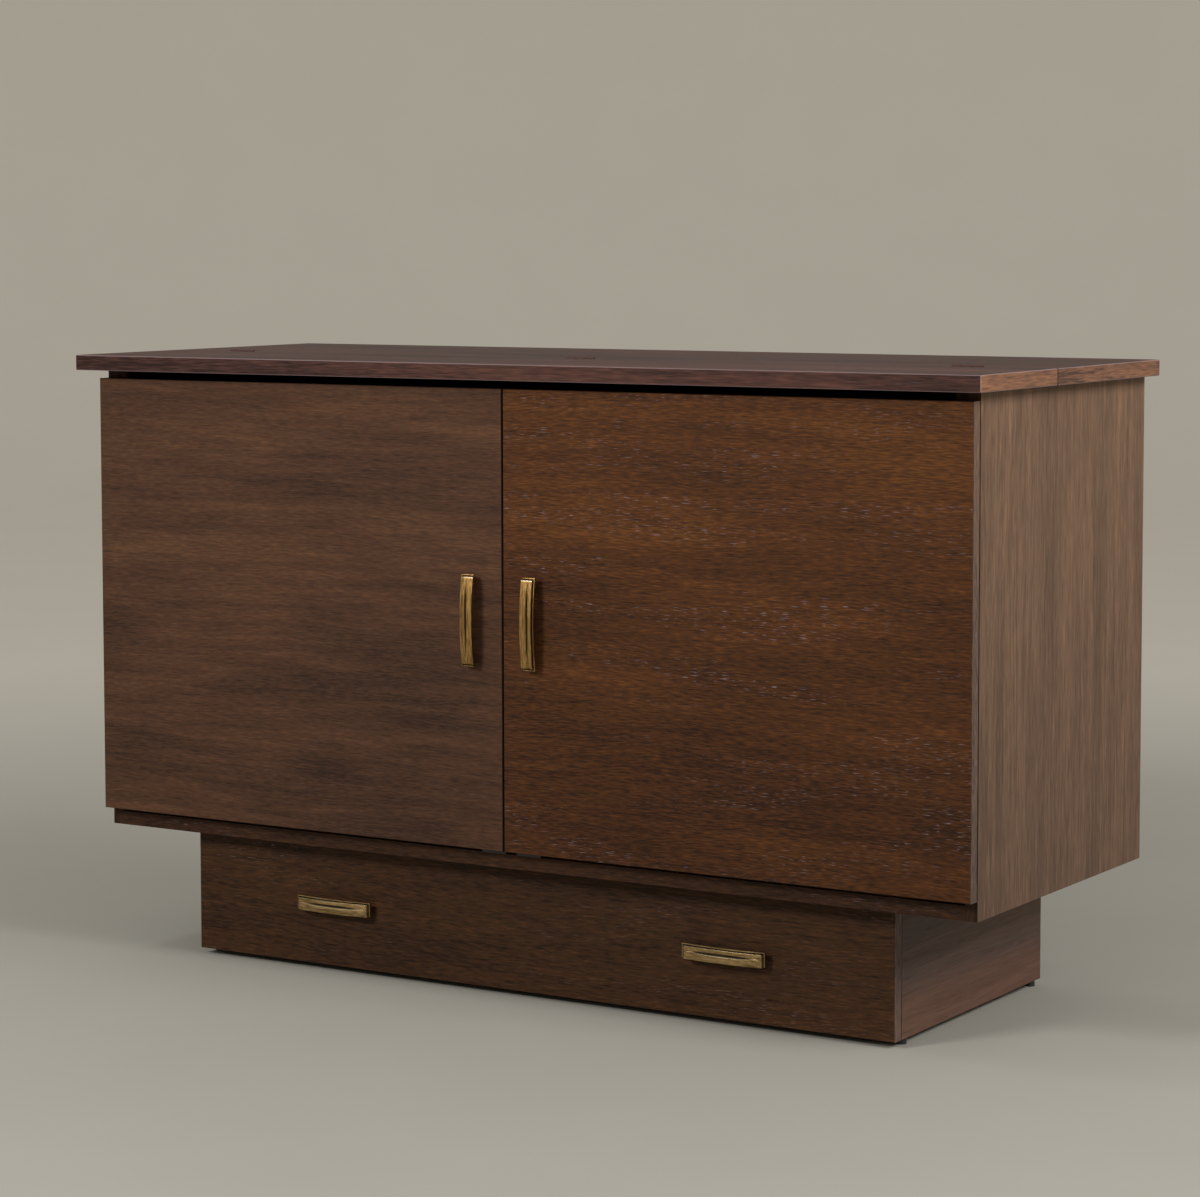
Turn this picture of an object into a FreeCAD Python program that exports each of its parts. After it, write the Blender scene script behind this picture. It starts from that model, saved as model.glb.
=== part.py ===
import FreeCAD, Part
import os
import Sketcher

# Cabinet bed: a sideboard whose doors, folding top and base drawer open up so that the
# folding platform and the folded mattress inside can be laid out as a bed.
#
# Frame: +X to the right of someone facing the doors, +Y towards the back, +Z up.
# The origin lies on the floor under the middle of the top. Lengths are in millimetres.

SIZES = [
    # the folding top
    ("top_width", 1638),
    ("top_depth", 648),
    ("top_height", 998),
    ("top_thick", 25),
    ("top_arris", 1.2),
    ("front_leaf_depth", 262),
    ("leaf_gap", 1),
    # the case under it
    ("side_overhang", 25),
    ("front_overhang", 31),
    ("board_thick", 20),
    ("floor_thick", 22),
    ("case_lift", 212),
    ("lipping_depth", 22),
    ("back_thick", 8),
    ("back_inset", 8),
    ("back_groove", 6),
    ("cleat_wide", 20),
    ("cleat_tall", 40),
    ("stretcher_deep", 22),
    ("stretcher_tall", 60),
    # the doors
    ("door_thick", 20),
    ("door_gap", 3),
    ("door_lift", 30),
    ("door_top_gap", 14),
    ("meeting_gap", 3),
    ("door_arris", 0.8),
    # the concealed door hinges
    ("hinge_end_gap", 100),
    ("pin_inset", 7),
    ("pin_depth", 8),
    ("pin_radius", 1.2),
    ("pin_fit", 0.05),
    ("cup_setback", 20.5),
    ("cup_radius", 17.5),
    ("cup_wall", 1),
    ("cup_depth", 13),
    ("cup_fit", 0.1),
    ("flange_radius", 19.5),
    ("flange_wide", 18),
    ("flange_tall", 60),
    ("flange_thick", 0.8),
    ("knuckle_radius", 2.2),
    ("arm_thick", 2.5),
    ("arm_wide", 9),
    ("neck_run", 8),
    ("neck_drop", 2.15),
    ("arm_gap", 0.55),
    ("arm_jog", 3.2),
    ("jog_start", 18),
    ("jog_end", 26),
    ("arm_end", 62),
    ("plate_wide", 44),
    ("plate_margin", 4),
    # the flush hinges of the top
    ("flap_hinge_long", 50),
    ("flap_leaf_deep", 28),
    ("flap_leaf_thick", 2),
    ("flap_end_gap", 120),
    ("flap_pin_radius", 1),
    ("flap_knuckle_radius", 2),
    ("flap_pin_rise", 0.8),
    ("flap_middle_knuckle", 20),
    ("flap_knuckle_gap", 0.4),
    # the base and its drawer
    ("base_side_inset", 150),
    ("base_front_inset", 63),
    ("base_back_inset", 40),
    ("glide_height", 10),
    ("glide_radius", 8),
    ("glide_end_gap", 18),
    ("glide_side_gap", 444),
    ("shadow_gap", 2),
    ("rail_deep", 50),
    ("rail_tall", 18),
    ("drawer_front_thick", 20),
    ("drawer_top_gap", 3),
    ("drawer_board", 15),
    ("drawer_back_gap", 14),
    ("drawer_wall_lift", 20),
    ("drawer_wall_gap", 22),
    ("drawer_floor_lift", 42),
    ("drawer_floor_thick", 9),
    ("drawer_groove", 6),
    # the three-part drawer runners
    ("runner_gap", 13),
    ("runner_tall", 45),
    ("runner_sheet", 1.5),
    ("runner_play", 0.4),
    ("runner_mouth", 2),
    ("runner_end_gap", 5),
    # the bow pulls
    ("pull_long", 143),
    ("pull_wide", 20),
    ("pull_bow", 5.5),
    ("pull_stand", 9.5),
    ("pull_back_thick", 1.6),
    ("pull_waist_thick", 2.2),
    ("pull_front_thick", 2.7),
    ("pull_step", 2),
    ("pull_slot", 1.7),
    ("pull_rim_thick", 1.5),
    ("pull_open_inset", 1),
    ("pull_groove_deep", 4.2),
    ("pull_groove_wide", 5.6),
    ("pull_groove_offset", 2.2),
    ("post_spacing", 128),
    ("post_radius", 4.5),
    ("door_pull_offset", 54),
    ("drawer_pull_offset", 361.5),
    # the door catches
    ("catch_long", 44),
    ("catch_deep", 15),
    ("catch_tall", 24),
    ("catch_offset", 10),
    ("catch_proud", 1),
    ("strike_inset", 3),
    ("strike_thick", 1.5),
    ("strike_tall", 13),
    # the folded platform
    ("deck_thick", 18),
    ("platform_thick", 18),
    ("platform_setback", 20),
    ("platform_side_gap", 4),
    ("platform_top_gap", 21),
    ("platform_foot_gap", 10),
    ("fold_gap", 2),
    ("bed_hinge_long", 60),
    ("bed_hinge_leaf", 26),
    ("bed_hinge_sheet", 1.6),
    ("bed_hinge_barrel", 3),
    ("bed_hinge_end_gap", 140),
    ("leg_square", 22),
    ("leg_pivot_drop", 12),
    ("leg_lift", 42),
    ("leg_end_gap", 150),
    ("leg_pin_radius", 4),
    ("leg_pin_fit", 0.05),
    ("leg_foot_thick", 6),
    ("leg_foot_inset", 2),
    ("ear_thick", 3),
    ("ear_flange", 20),
    ("ear_tall", 44),
    ("leg_play", 0.5),
    # the folded mattress
    ("mattress_front_gap", 9),
    ("mattress_back_gap", 34),
    ("mattress_side_gap", 14),
    ("mattress_top_gap", 48),
    ("mattress_fold_gap", 1),
    ("mattress_round", 24),
]

X_AXIS = FreeCAD.Vector(1, 0, 0)
Y_AXIS = FreeCAD.Vector(0, 1, 0)
Z_AXIS = FreeCAD.Vector(0, 0, 1)
UPRIGHT = FreeCAD.Rotation()
ALONG_X = FreeCAD.Rotation(Y_AXIS, 90)
ALONG_Y = FreeCAD.Rotation(X_AXIS, -90)

doc = FreeCAD.newDocument("cabinet_bed")
sheet = doc.addObject("Spreadsheet::Sheet", "Sizes")
for row, (alias, number) in enumerate(SIZES, start=1):
    sheet.set(f"A{row}", alias)
    sheet.set(f"B{row}", str(number))
    sheet.setAlias(f"B{row}", alias)
doc.recompute()

nodes = []


def size(alias):
    """Name one size of the sheet in an expression."""
    return f"Sizes.{alias}"


def value(expression):
    """Work an expression out as a plain number."""
    return float(sheet.evalExpression(str(expression)))


def keep(obj, label):
    """Hand an object over as one of the finished pieces."""
    obj.Label = label
    nodes.append(obj)
    return obj


# ---------------------------------------------------------------- ways of making a piece

def put(obj, x, y, z, turn=UPRIGHT):
    """Turn an object, then place it at three expressions."""
    obj.Placement = FreeCAD.Placement(FreeCAD.Vector(), turn)
    for letter, expression in zip("xyz", (x, y, z)):
        obj.setExpression(f"Placement.Base.{letter}", str(expression))
    return obj


def board(name, x, y, z):
    """A square-edged board between a low and a high limit on each axis."""
    box = doc.addObject("Part::Box", name)
    for length, (low, high) in zip(("Length", "Width", "Height"), (x, y, z)):
        box.setExpression(length, f"({high}) - ({low})")
    return put(box, x[0], y[0], z[0])


def rod(name, start, turn, radius, length):
    """A round bar from a start point along a turned axis."""
    bar = doc.addObject("Part::Cylinder", name)
    bar.setExpression("Radius", str(radius))
    bar.setExpression("Height", str(length))
    return put(bar, *start, turn)


def joined(name, pieces):
    """Several shapes fused into one solid."""
    fusion = doc.addObject("Part::MultiFuse", name)
    fusion.Shapes = pieces
    fusion.Refine = True
    return fusion


def without(name, base, tools):
    """A shape with one or more others cut away."""
    cut = doc.addObject("Part::Cut", name)
    cut.Base = base
    cut.Tool = tools[0] if len(tools) == 1 else group(f"{name}_tools", tools)
    return cut


def shared(name, first, second):
    """What two shapes have in common."""
    common = doc.addObject("Part::Common", name)
    common.Base = first
    common.Tool = second
    return common


def group(name, pieces):
    """Separate solids kept together under one name."""
    together = doc.addObject("Part::Compound", name)
    together.Links = pieces
    return together


def copy_at(name, source, x, y, z, turn=UPRIGHT):
    """The same piece again at another place."""
    return put(group(name, [source]), x, y, z, turn)


def mirrored(name, source):
    """The left-hand piece that matches a right-hand one."""
    mirror = doc.addObject("Part::Mirroring", name)
    mirror.Source = source
    mirror.Normal = X_AXIS
    return mirror


def origin_plane(body, role):
    """One of a body's own origin planes or axes."""
    return next(item for item in body.Origin.OriginFeatures if item.Role == role)


def place_sketch(body, name, role, height):
    """An empty sketch on a plane parallel to one of the body's origin planes."""
    sketch = body.newObject("Sketcher::SketchObject", name)
    sketch.AttachmentSupport = [(origin_plane(body, role), "")]
    sketch.MapMode = "FlatFace"
    sketch.setExpression("AttachmentOffset.Base.z", str(height))
    return sketch


def draw_outline(sketch, corners, closed=True):
    """A run of straight lines whose corners are held at expressions."""
    spots = [FreeCAD.Vector(value(x), value(y), 0) for x, y in corners]
    ends = spots[1:] + spots[:1] if closed else spots[1:]
    first = sketch.GeometryCount
    for start, end in zip(spots, ends):
        sketch.addGeometry(Part.LineSegment(start, end), False)
    last = sketch.GeometryCount - 1
    for line in range(first, last):
        sketch.addConstraint(Sketcher.Constraint("Coincident", line, 2, line + 1, 1))
    if closed:
        sketch.addConstraint(Sketcher.Constraint("Coincident", last, 2, first, 1))
    for step, (corner, spot) in enumerate(zip(corners, spots)):
        line, end = (first + step, 1) if first + step <= last else (last, 2)
        hold_point(sketch, line, end, corner, spot)


def draw_circle(sketch, centre, radius):
    """A circle whose centre and radius are held at expressions."""
    spot = FreeCAD.Vector(value(centre[0]), value(centre[1]), 0)
    ring = sketch.addGeometry(Part.Circle(spot, Z_AXIS, value(radius)), False)
    hold = sketch.addConstraint(Sketcher.Constraint("Radius", ring, value(radius)))
    sketch.setExpression(f"Constraints[{hold}]", str(radius))
    hold_point(sketch, ring, 3, centre, spot)


def hold_point(sketch, line, end, corner, spot):
    """Tie one point of a sketch to its two expressions."""
    for kind, expression, number in zip(("DistanceX", "DistanceY"), corner, (spot.x, spot.y)):
        hold = sketch.addConstraint(Sketcher.Constraint(kind, -1, 1, line, end, number))
        sketch.setExpression(f"Constraints[{hold}]", str(expression))


def rectangle(low_x, high_x, low_y, high_y):
    """The corners of an upright rectangle."""
    return [(low_x, low_y), (high_x, low_y), (high_x, high_y), (low_x, high_y)]


def new_body(name):
    return doc.addObject("PartDesign::Body", name)


def pad(body, sketch, length, backwards=False):
    """Thicken a sketch into solid material."""
    feature = body.newObject("PartDesign::Pad", f"{sketch.Name}_pad")
    feature.Profile = sketch
    feature.setExpression("Length", str(length))
    feature.Reversed = backwards
    doc.recompute()
    return feature


def pocket(body, sketch, depth, backwards=False):
    """Sink a sketch into the body, and make sure that it took material away."""
    before = body.Shape.Volume
    feature = body.newObject("PartDesign::Pocket", f"{sketch.Name}_pocket")
    feature.Profile = sketch
    feature.setExpression("Length", str(depth))
    feature.Reversed = backwards
    doc.recompute()
    if body.Shape.Volume >= before:
        raise RuntimeError(f"{feature.Name} cut nothing")
    return feature


def repeat(body, feature, role, length, count):
    """Copy a feature in a line along one of the body's axes."""
    pattern = body.newObject("PartDesign::LinearPattern", f"{feature.Name}_row")
    pattern.Originals = [feature]
    pattern.Direction = (origin_plane(body, role), [""])
    pattern.setExpression("Length", str(length))
    pattern.Occurrences = count
    body.Tip = pattern
    doc.recompute()
    return pattern


def soften(body, kind, measure, amount, wanted):
    """Fillet or chamfer the edges of the body's last feature that a test picks out."""
    base = body.Tip
    edges = [f"Edge{number}" for number, edge in enumerate(base.Shape.Edges, start=1) if wanted(edge)]
    feature = body.newObject(f"PartDesign::{kind}", f"{body.Name}_{kind}")
    feature.Base = (base, edges)
    feature.setExpression(measure, str(amount))
    doc.recompute()
    return feature


def turned(name, profile, centre, turn=UPRIGHT):
    """A body of revolution: its profile is radius against height."""
    body = new_body(name)
    sketch = place_sketch(body, f"{name}_profile", "XZ_Plane", "0")
    draw_outline(sketch, profile)
    feature = body.newObject("PartDesign::Revolution", f"{name}_turning")
    feature.Profile = sketch
    feature.ReferenceAxis = (sketch, ["V_Axis"])
    feature.Angle = 360
    doc.recompute()
    return put(body, *centre, turn)


# ---------------------------------------------------------------- lines that pieces share

half_top = f"({size('top_width')} / 2)"
top_front = f"(-{size('top_depth')} / 2)"
top_back = f"({size('top_depth')} / 2)"
case_top = f"({size('top_height')} - {size('top_thick')})"
half_case = f"({half_top} - {size('side_overhang')})"
half_inside = f"({half_case} - {size('board_thick')})"
door_face = f"({top_front} + {size('front_overhang')})"
door_back = f"({door_face} + {size('door_thick')})"
case_front = f"({door_back} + {size('door_gap')})"
floor_top = f"({size('case_lift')} + {size('floor_thick')})"
back_face = f"({top_back} - {size('back_inset')} - {size('back_thick')})"
door_bottom = f"({size('case_lift')} + {size('door_lift')})"
door_top = f"({case_top} - {size('door_top_gap')})"
seam = f"({top_front} + {size('front_leaf_depth')})"


# ---------------------------------------------------------------- the case

def side_panel():
    """A veneered side board, grooved near its back edge for the back panel."""
    blank = board("side_blank", (half_inside, half_case), (case_front, top_back),
                  (size("case_lift"), case_top))
    groove = board("side_groove", (half_inside, f"{half_inside} + {size('back_groove')}"),
                   (back_face, f"{back_face} + {size('back_thick')}"),
                   (f"{size('case_lift')} - 1", f"{case_top} + 1"))
    return without("side_board", blank, [groove])


right_side = keep(side_panel(), "right_side_panel")
keep(mirrored("side_board_left", right_side), "left_side_panel")

lipping_back = f"({case_front} + {size('lipping_depth')})"
inside = (f"-{half_inside}", half_inside)
floor_z = (size("case_lift"), floor_top)
keep(board("floor_board", inside, (lipping_back, back_face), floor_z), "bottom_panel")
keep(board("floor_lipping", inside, (case_front, lipping_back), floor_z), "front_bottom_rail")

half_back = f"({half_inside} + {size('back_groove')})"
keep(board("back_board", (f"-{half_back}", half_back),
           (back_face, f"{back_face} + {size('back_thick')}"),
           (size("case_lift"), case_top)), "back_panel")

stretcher_front = f"({back_face} - {size('stretcher_deep')})"
keep(board("stretcher", inside, (stretcher_front, back_face),
           (f"{case_top} - {size('stretcher_tall')}", case_top)), "rear_top_stretcher")

cleat_face = f"({half_inside} - {size('cleat_wide')})"
cleat_bottom = f"({case_top} - {size('cleat_tall')})"
right_cleat = keep(board("cleat", (cleat_face, half_inside), (case_front, stretcher_front),
                         (cleat_bottom, case_top)), "right_top_cleat")
keep(mirrored("cleat_left", right_cleat), "left_top_cleat")


# ---------------------------------------------------------------- the folding top

FLAP_HINGES = 3
half_leaf_gap = f"({size('leaf_gap')} / 2)"
flap_start = f"(-{half_top} + {size('flap_end_gap')})"
flap_span = f"({size('top_width')} - 2 * {size('flap_end_gap')} - {size('flap_hinge_long')})"
half_seam_middle = f"({size('flap_middle_knuckle')} / 2)"
flap_clear = f"({size('flap_knuckle_radius')} + {size('flap_knuckle_gap')})"


def top_leaf(name, low_y, high_y, mortise_low, mortise_high):
    """One leaf of the top, with a shallow seat at the seam for each flush hinge."""
    body = new_body(name)
    outline = place_sketch(body, f"{name}_outline", "XY_Plane", case_top)
    draw_outline(outline, rectangle(f"-{half_top}", half_top, low_y, high_y))
    pad(body, outline, size("top_thick"))
    soften(body, "Chamfer", "Size", size("top_arris"), lambda edge: True)
    seat = place_sketch(body, f"{name}_seat", "XY_Plane", size("top_height"))
    draw_outline(seat, rectangle(flap_start, f"{flap_start} + {size('flap_hinge_long')}",
                                 mortise_low, mortise_high))
    first = pocket(body, seat, size("flap_leaf_thick"))
    repeat(body, first, "X_Axis", flap_span, FLAP_HINGES)
    return body


rear_edge = f"({seam} + {half_leaf_gap})"
front_edge = f"({seam} - {half_leaf_gap})"
keep(top_leaf("rear_leaf", rear_edge, top_back, f"{rear_edge} - 1",
              f"{seam} + {size('flap_leaf_deep')}"), "rear_top_leaf")
keep(top_leaf("front_leaf", top_front, front_edge, f"{seam} - {size('flap_leaf_deep')}",
              f"{front_edge} + 1"), "front_top_leaf")

flap_axis_z = f"({size('top_height')} + {size('flap_pin_rise')})"
flap_leaf_z = (f"{size('top_height')} - {size('flap_leaf_thick')}", size("top_height"))
half_flap = f"({size('flap_hinge_long')} / 2)"
outer_knuckle = f"({half_flap} - {half_seam_middle} - {size('flap_knuckle_gap')})"


def flap_leaf(name, side, knuckles):
    """One brass leaf: a flat plate whose tongues reach the knuckles that it carries."""
    far = f"{seam} {side} {size('flap_leaf_deep')}"
    near = f"{seam} {side} {flap_clear}"
    plate_y = (near, far) if side == "+" else (far, near)
    tongue_y = (seam, near) if side == "+" else (near, seam)
    parts = [board(f"{name}_plate", (f"-{half_flap}", half_flap), plate_y, flap_leaf_z)]
    for number, (start, length) in enumerate(knuckles):
        parts.append(board(f"{name}_tongue{number}", (start, f"{start} + {length}"),
                           tongue_y, flap_leaf_z))
        parts.append(rod(f"{name}_knuckle{number}", (start, seam, flap_axis_z), ALONG_X,
                         size("flap_knuckle_radius"), length))
    return parts


def row_of(name, source, start, span, count):
    """The same piece repeated at even steps along X."""
    copies = []
    for number in range(count):
        x = f"{start} + {span} * {number} / {count - 1}"
        copies.append(copy_at(f"{name}{number}", source, x, "0", "0"))
    return group(name, copies)


flap_middle = f"({flap_start} + {half_flap})"
# The pin is riveted into the rear leaf's two knuckles and turns in the front leaf's one.
flap_pin = rod("flap_pin", (f"-{half_flap}", seam, flap_axis_z), ALONG_X,
               size("flap_pin_radius"), size("flap_hinge_long"))
rear_flap = joined("rear_flap", [flap_pin] + flap_leaf("rear_flap", "+", [
    (f"-{half_flap}", outer_knuckle), (f"{half_flap} - {outer_knuckle}", outer_knuckle)]))
flap_bore = rod("flap_bore", (f"-{half_flap}", seam, flap_axis_z), ALONG_X,
                f"{size('flap_pin_radius')} + {size('pin_fit')}", size("flap_hinge_long"))
front_solid = joined("front_flap_solid", flap_leaf("front_flap", "-", [
    (f"-{half_seam_middle}", size("flap_middle_knuckle"))]))
front_flap = without("front_flap", front_solid, [flap_bore])
keep(row_of("rear_flaps", rear_flap, flap_middle, flap_span, FLAP_HINGES), "top_hinge_rear_leaves")
keep(row_of("front_flaps", front_flap, flap_middle, flap_span, FLAP_HINGES), "top_hinge_front_leaves")


# ---------------------------------------------------------------- the bow pull

# The pull is one casting, drawn upright with its feet on the plane y = 0 and its bow towards
# -Y: a front bar on a narrower waist, which stands in a shallow tray, all bowed to the same
# centre, on two round posts. The tray has a rim at both ends and along its +X side, with a slot
# between the rim and the bar, and is open on the side of the fingers. A straight V groove runs
# down the bowed front, so it is deepest and widest in the middle and runs out at each end.

half_pull = f"({size('pull_long')} / 2)"
pull_end_face = (f"({size('pull_stand')} + {size('pull_back_thick')}"
                 f" + {size('pull_waist_thick')} + {size('pull_front_thick')})")
pull_crown = f"({pull_end_face} + {size('pull_bow')})"
pull_radius = (f"({size('pull_long')} * {size('pull_long')} / (8 * {size('pull_bow')})"
               f" + {size('pull_bow')} / 2)")


def bowed_layer(name, outer, inner, low_x, high_x, half_long):
    """One layer of the pull between two circles about the same centre."""
    centre_y = f"{pull_radius} - {pull_crown}"
    discs = []
    for part, radius in (("outer", outer), ("inner", inner)):
        discs.append(rod(f"{name}_{part}", (low_x, centre_y, "0"), ALONG_X,
                         radius, f"{high_x} - ({low_x})"))
    window = board(f"{name}_window", (low_x, high_x), (f"-{pull_crown} - 1", "0"),
                   (f"-{half_long}", half_long))
    return shared(f"{name}_layer", without(f"{name}_ring", discs[0], [discs[1]]), window)


def bow_pull():
    half_wide = f"({size('pull_wide')} / 2)"
    front_inner = f"({pull_radius} - {size('pull_front_thick')})"
    waist_inner = f"({front_inner} - {size('pull_waist_thick')})"
    back_inner = f"({waist_inner} - {size('pull_back_thick')})"
    open_x = f"(-{half_wide} + {size('pull_open_inset')})"
    slot_x = f"({half_wide} + {size('pull_slot')})"
    rim_x = f"({slot_x} + {size('pull_rim_thick')})"
    half_slot = f"({half_pull} - {size('pull_rim_thick')})"
    half_bar = f"({half_slot} - {size('pull_slot')})"
    front = bowed_layer("pull_front", pull_radius, front_inner, f"-{half_wide}", half_wide, half_bar)
    waist = bowed_layer("pull_waist", front_inner, waist_inner,
                        f"-{half_wide} + {size('pull_step')}", f"{half_wide} - {size('pull_step')}",
                        f"({half_bar} - {size('pull_step')})")
    tray_wall = bowed_layer("pull_wall", front_inner, waist_inner, open_x, rim_x, half_pull)
    tray_space = board("pull_space", (f"{open_x} - 1", slot_x), (f"-{pull_crown} - 1", "0"),
                       (f"-{half_slot}", half_slot))
    rim = without("pull_rim", tray_wall, [tray_space])
    back = bowed_layer("pull_back", waist_inner, back_inner, open_x, rim_x, half_pull)
    posts = []
    for name, side in (("upper", "+"), ("lower", "-")):
        z = f"0 {side} {size('post_spacing')} / 2"
        reach = f"{size('pull_stand')} + {size('pull_back_thick')} + {size('pull_waist_thick')}"
        posts.append(rod(f"post_{name}", ("0", f"-({reach})", z), ALONG_Y,
                         size("post_radius"), reach))
    groove_profile = doc.addObject("Sketcher::SketchObject", "pull_groove_profile")
    mouth = f"({size('pull_groove_wide')} / 2)"
    past = f"(-{pull_crown} - {size('pull_groove_deep')})"
    line_x = size("pull_groove_offset")
    draw_outline(groove_profile, [(f"{line_x} - 2 * {mouth}", past), (f"{line_x} + 2 * {mouth}", past),
                                  (line_x, f"-{pull_crown} + {size('pull_groove_deep')}")])
    groove = doc.addObject("Part::Extrusion", "pull_groove")
    groove.Base = groove_profile
    groove.DirMode = "Custom"
    groove.Dir = Z_AXIS
    groove.Symmetric = True
    groove.Solid = True
    groove.setExpression("LengthFwd", size("pull_long"))
    casting = joined("pull_casting", [front, waist, rim, back] + posts)
    return without("pull_finished", casting, [groove])


the_pull = bow_pull()
QUARTER_TURN = FreeCAD.Rotation(Y_AXIS, -90)


# ---------------------------------------------------------------- the doors

HINGES = 2
door_middle = f"(({door_bottom} + {door_top}) / 2)"
door_edge = half_case
meeting_edge = f"({size('meeting_gap')} / 2)"
cup_x = f"({half_case} - {size('cup_setback')})"
hinge_low = f"({door_bottom} + {size('hinge_end_gap')})"
hinge_span = f"({door_top} - {door_bottom} - 2 * {size('hinge_end_gap')})"


def door():
    """A veneered slab door with hinge cups bored in its back and two pull holes."""
    body = new_body("door")
    outline = place_sketch(body, "door_outline", "XZ_Plane", f"-{door_back}")
    draw_outline(outline, rectangle(meeting_edge, door_edge, door_bottom, door_top))
    pad(body, outline, size("door_thick"))
    face_y = value(door_face)
    soften(body, "Chamfer", "Size", size("door_arris"),
           lambda edge: abs(edge.CenterOfMass.y - face_y) < 0.01)
    bore = place_sketch(body, "cup_bore", "XZ_Plane", f"-{door_back}")
    draw_circle(bore, (cup_x, hinge_low), f"{size('cup_radius')} + {size('cup_fit')}")
    first = pocket(body, bore, size("cup_depth"), backwards=True)
    repeat(body, first, "Z_Axis", hinge_span, HINGES)
    return body


right_door = keep(door(), "right_door_panel")
keep(mirrored("door_left", right_door), "left_door_panel")

right_pull = keep(copy_at("pull_right", the_pull, size("door_pull_offset"), door_face, door_middle),
                  "right_door_pull")
keep(mirrored("pull_left", right_pull), "left_door_pull")


# ---------------------------------------------------------------- the concealed door hinges

# Each hinge has a pressed cup in a bore of the door and a gooseneck arm on the side panel.
# They turn about one pin inside the cup. The pin lies close to the door's edge and back face,
# so that the door's back corner swings clear of the case through its whole travel, and the
# arm first dips towards the cup's floor, so that it clears the rim when the door is open.

pin_x = f"({half_case} - {size('pin_inset')})"
pin_y = f"({door_back} - {size('pin_depth')})"


def hinge_cup():
    """The cup with its floor towards the door's face, its screw flange, and the pin across it."""
    outer = size("cup_radius")
    inner = f"({outer} - {size('cup_wall')})"
    depth = size("cup_depth")
    wall = size("cup_wall")
    shell = turned("cup_shell", [("0", f"-{depth}"), (outer, f"-{depth}"), (outer, "0"),
                                 (inner, "0"), (inner, f"-{depth} + {wall}"),
                                 ("0", f"-{depth} + {wall}")],
                   (cup_x, door_back, "0"), ALONG_Y)
    reach = f"({size('cup_setback')} - {size('pin_inset')})"
    half_chord = f"sqrt({outer} * {outer} - {reach} * {reach})"
    pin = rod("cup_pin", (pin_x, pin_y, f"-{half_chord} + {wall}"), UPRIGHT, size("pin_radius"),
              f"2 * ({half_chord} - {wall})")
    half_wing = f"({size('flange_wide')} / 2)"
    half_tall = f"({size('flange_tall')} / 2)"
    flange_y = (door_back, f"{door_back} + {size('flange_thick')}")
    flange = joined("flange_blank", [
        rod("flange_disc", (cup_x, door_back, "0"), ALONG_Y, size("flange_radius"),
            size("flange_thick")),
        board("flange_wings", (f"{cup_x} - {half_wing}", f"{cup_x} + {half_wing}"), flange_y,
              (f"-{half_tall}", half_tall)),
    ])
    mouth = rod("flange_mouth", (cup_x, door_back, "0"), ALONG_Y, inner, size("flange_thick"))
    return joined("hinge_cup", [shell, pin, without("flange", flange, [mouth])])


def hinge_arm():
    """A gooseneck strip from the knuckle round the pin to the foot on the mounting plate."""
    inward = f"({size('pin_inset')} - {size('board_thick')} - {size('arm_gap')} - {size('arm_thick')} / 2)"
    foot = f"({inward} - {size('arm_jog')})"
    route = [("0", "0"), (f"-{size('neck_run')}", f"-{size('neck_drop')}"),
             (inward, f"-{size('neck_drop')}"), (inward, size("jog_start")),
             (foot, size("jog_end")), (foot, size("arm_end"))]
    path = doc.addObject("Sketcher::SketchObject", "arm_path")
    draw_outline(path, route, closed=False)
    halves = []
    for name, side in (("inner", ""), ("outer", "-")):
        strip = doc.addObject("Part::Offset2D", f"arm_strip_{name}")
        strip.Source = path
        strip.Mode = "Skin"
        strip.Join = "Intersection"
        strip.Fill = True
        strip.setExpression("Value", f"{side}{size('arm_thick')} / 2")
        half = doc.addObject("Part::Extrusion", f"arm_{name}_half")
        half.Base = strip
        half.DirMode = "Custom"
        half.Dir = Z_AXIS
        half.Solid = True
        half.setExpression("LengthFwd", size("arm_wide"))
        halves.append(half)
    knuckle = rod("arm_knuckle", ("0", "0", "0"), UPRIGHT, size("knuckle_radius"), size("arm_wide"))
    hole = rod("arm_hole", ("0", "0", "-1"), UPRIGHT, f"{size('pin_radius')} + {size('pin_fit')}",
               f"{size('arm_wide')} + 2")
    bored = without("arm_bored", joined("arm_solid", halves + [knuckle]), [hole])
    return copy_at("hinge_arm", bored, pin_x, pin_y, f"-{size('arm_wide')} / 2")


def hinge_plate():
    """The mounting plate between the arm's foot and the side panel."""
    thick = f"({size('arm_gap')} + {size('arm_jog')})"
    start = f"({pin_y} + {size('jog_end')} + {size('plate_margin')})"
    return board("hinge_plate", (f"{half_inside} - {thick}", half_inside),
                 (start, f"{pin_y} + {size('arm_end')} + {size('plate_margin')}"),
                 (f"-{size('plate_wide')} / 2", f"{size('plate_wide')} / 2"))


def stack_of(name, source):
    """The same hinge piece at each hinge of a door, from the lowest up."""
    copies = []
    for number in range(HINGES):
        z = f"{hinge_low} + {hinge_span} * {number} / {HINGES - 1}"
        copies.append(copy_at(f"{name}{number}", source, "0", "0", z))
    return group(name, copies)


for piece, maker in (("cups", hinge_cup), ("arms", hinge_arm), ("plates", hinge_plate)):
    right_set = keep(stack_of(f"hinge_{piece}", maker()), f"right_hinge_{piece}")
    keep(mirrored(f"hinge_{piece}_left", right_set), f"left_hinge_{piece}")


# ---------------------------------------------------------------- the door catches

catch_end = f"({size('catch_offset')} + {size('catch_long')})"
catch_face = f"({case_front} - {size('catch_proud')})"
right_catch = board("catch_right", (size("catch_offset"), catch_end),
                    (catch_face, f"{catch_face} + {size('catch_deep')}"),
                    (floor_top, f"{floor_top} + {size('catch_tall')}"))
keep(group("catches", [right_catch, mirrored("catch_left", right_catch)]), "door_catches")

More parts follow.
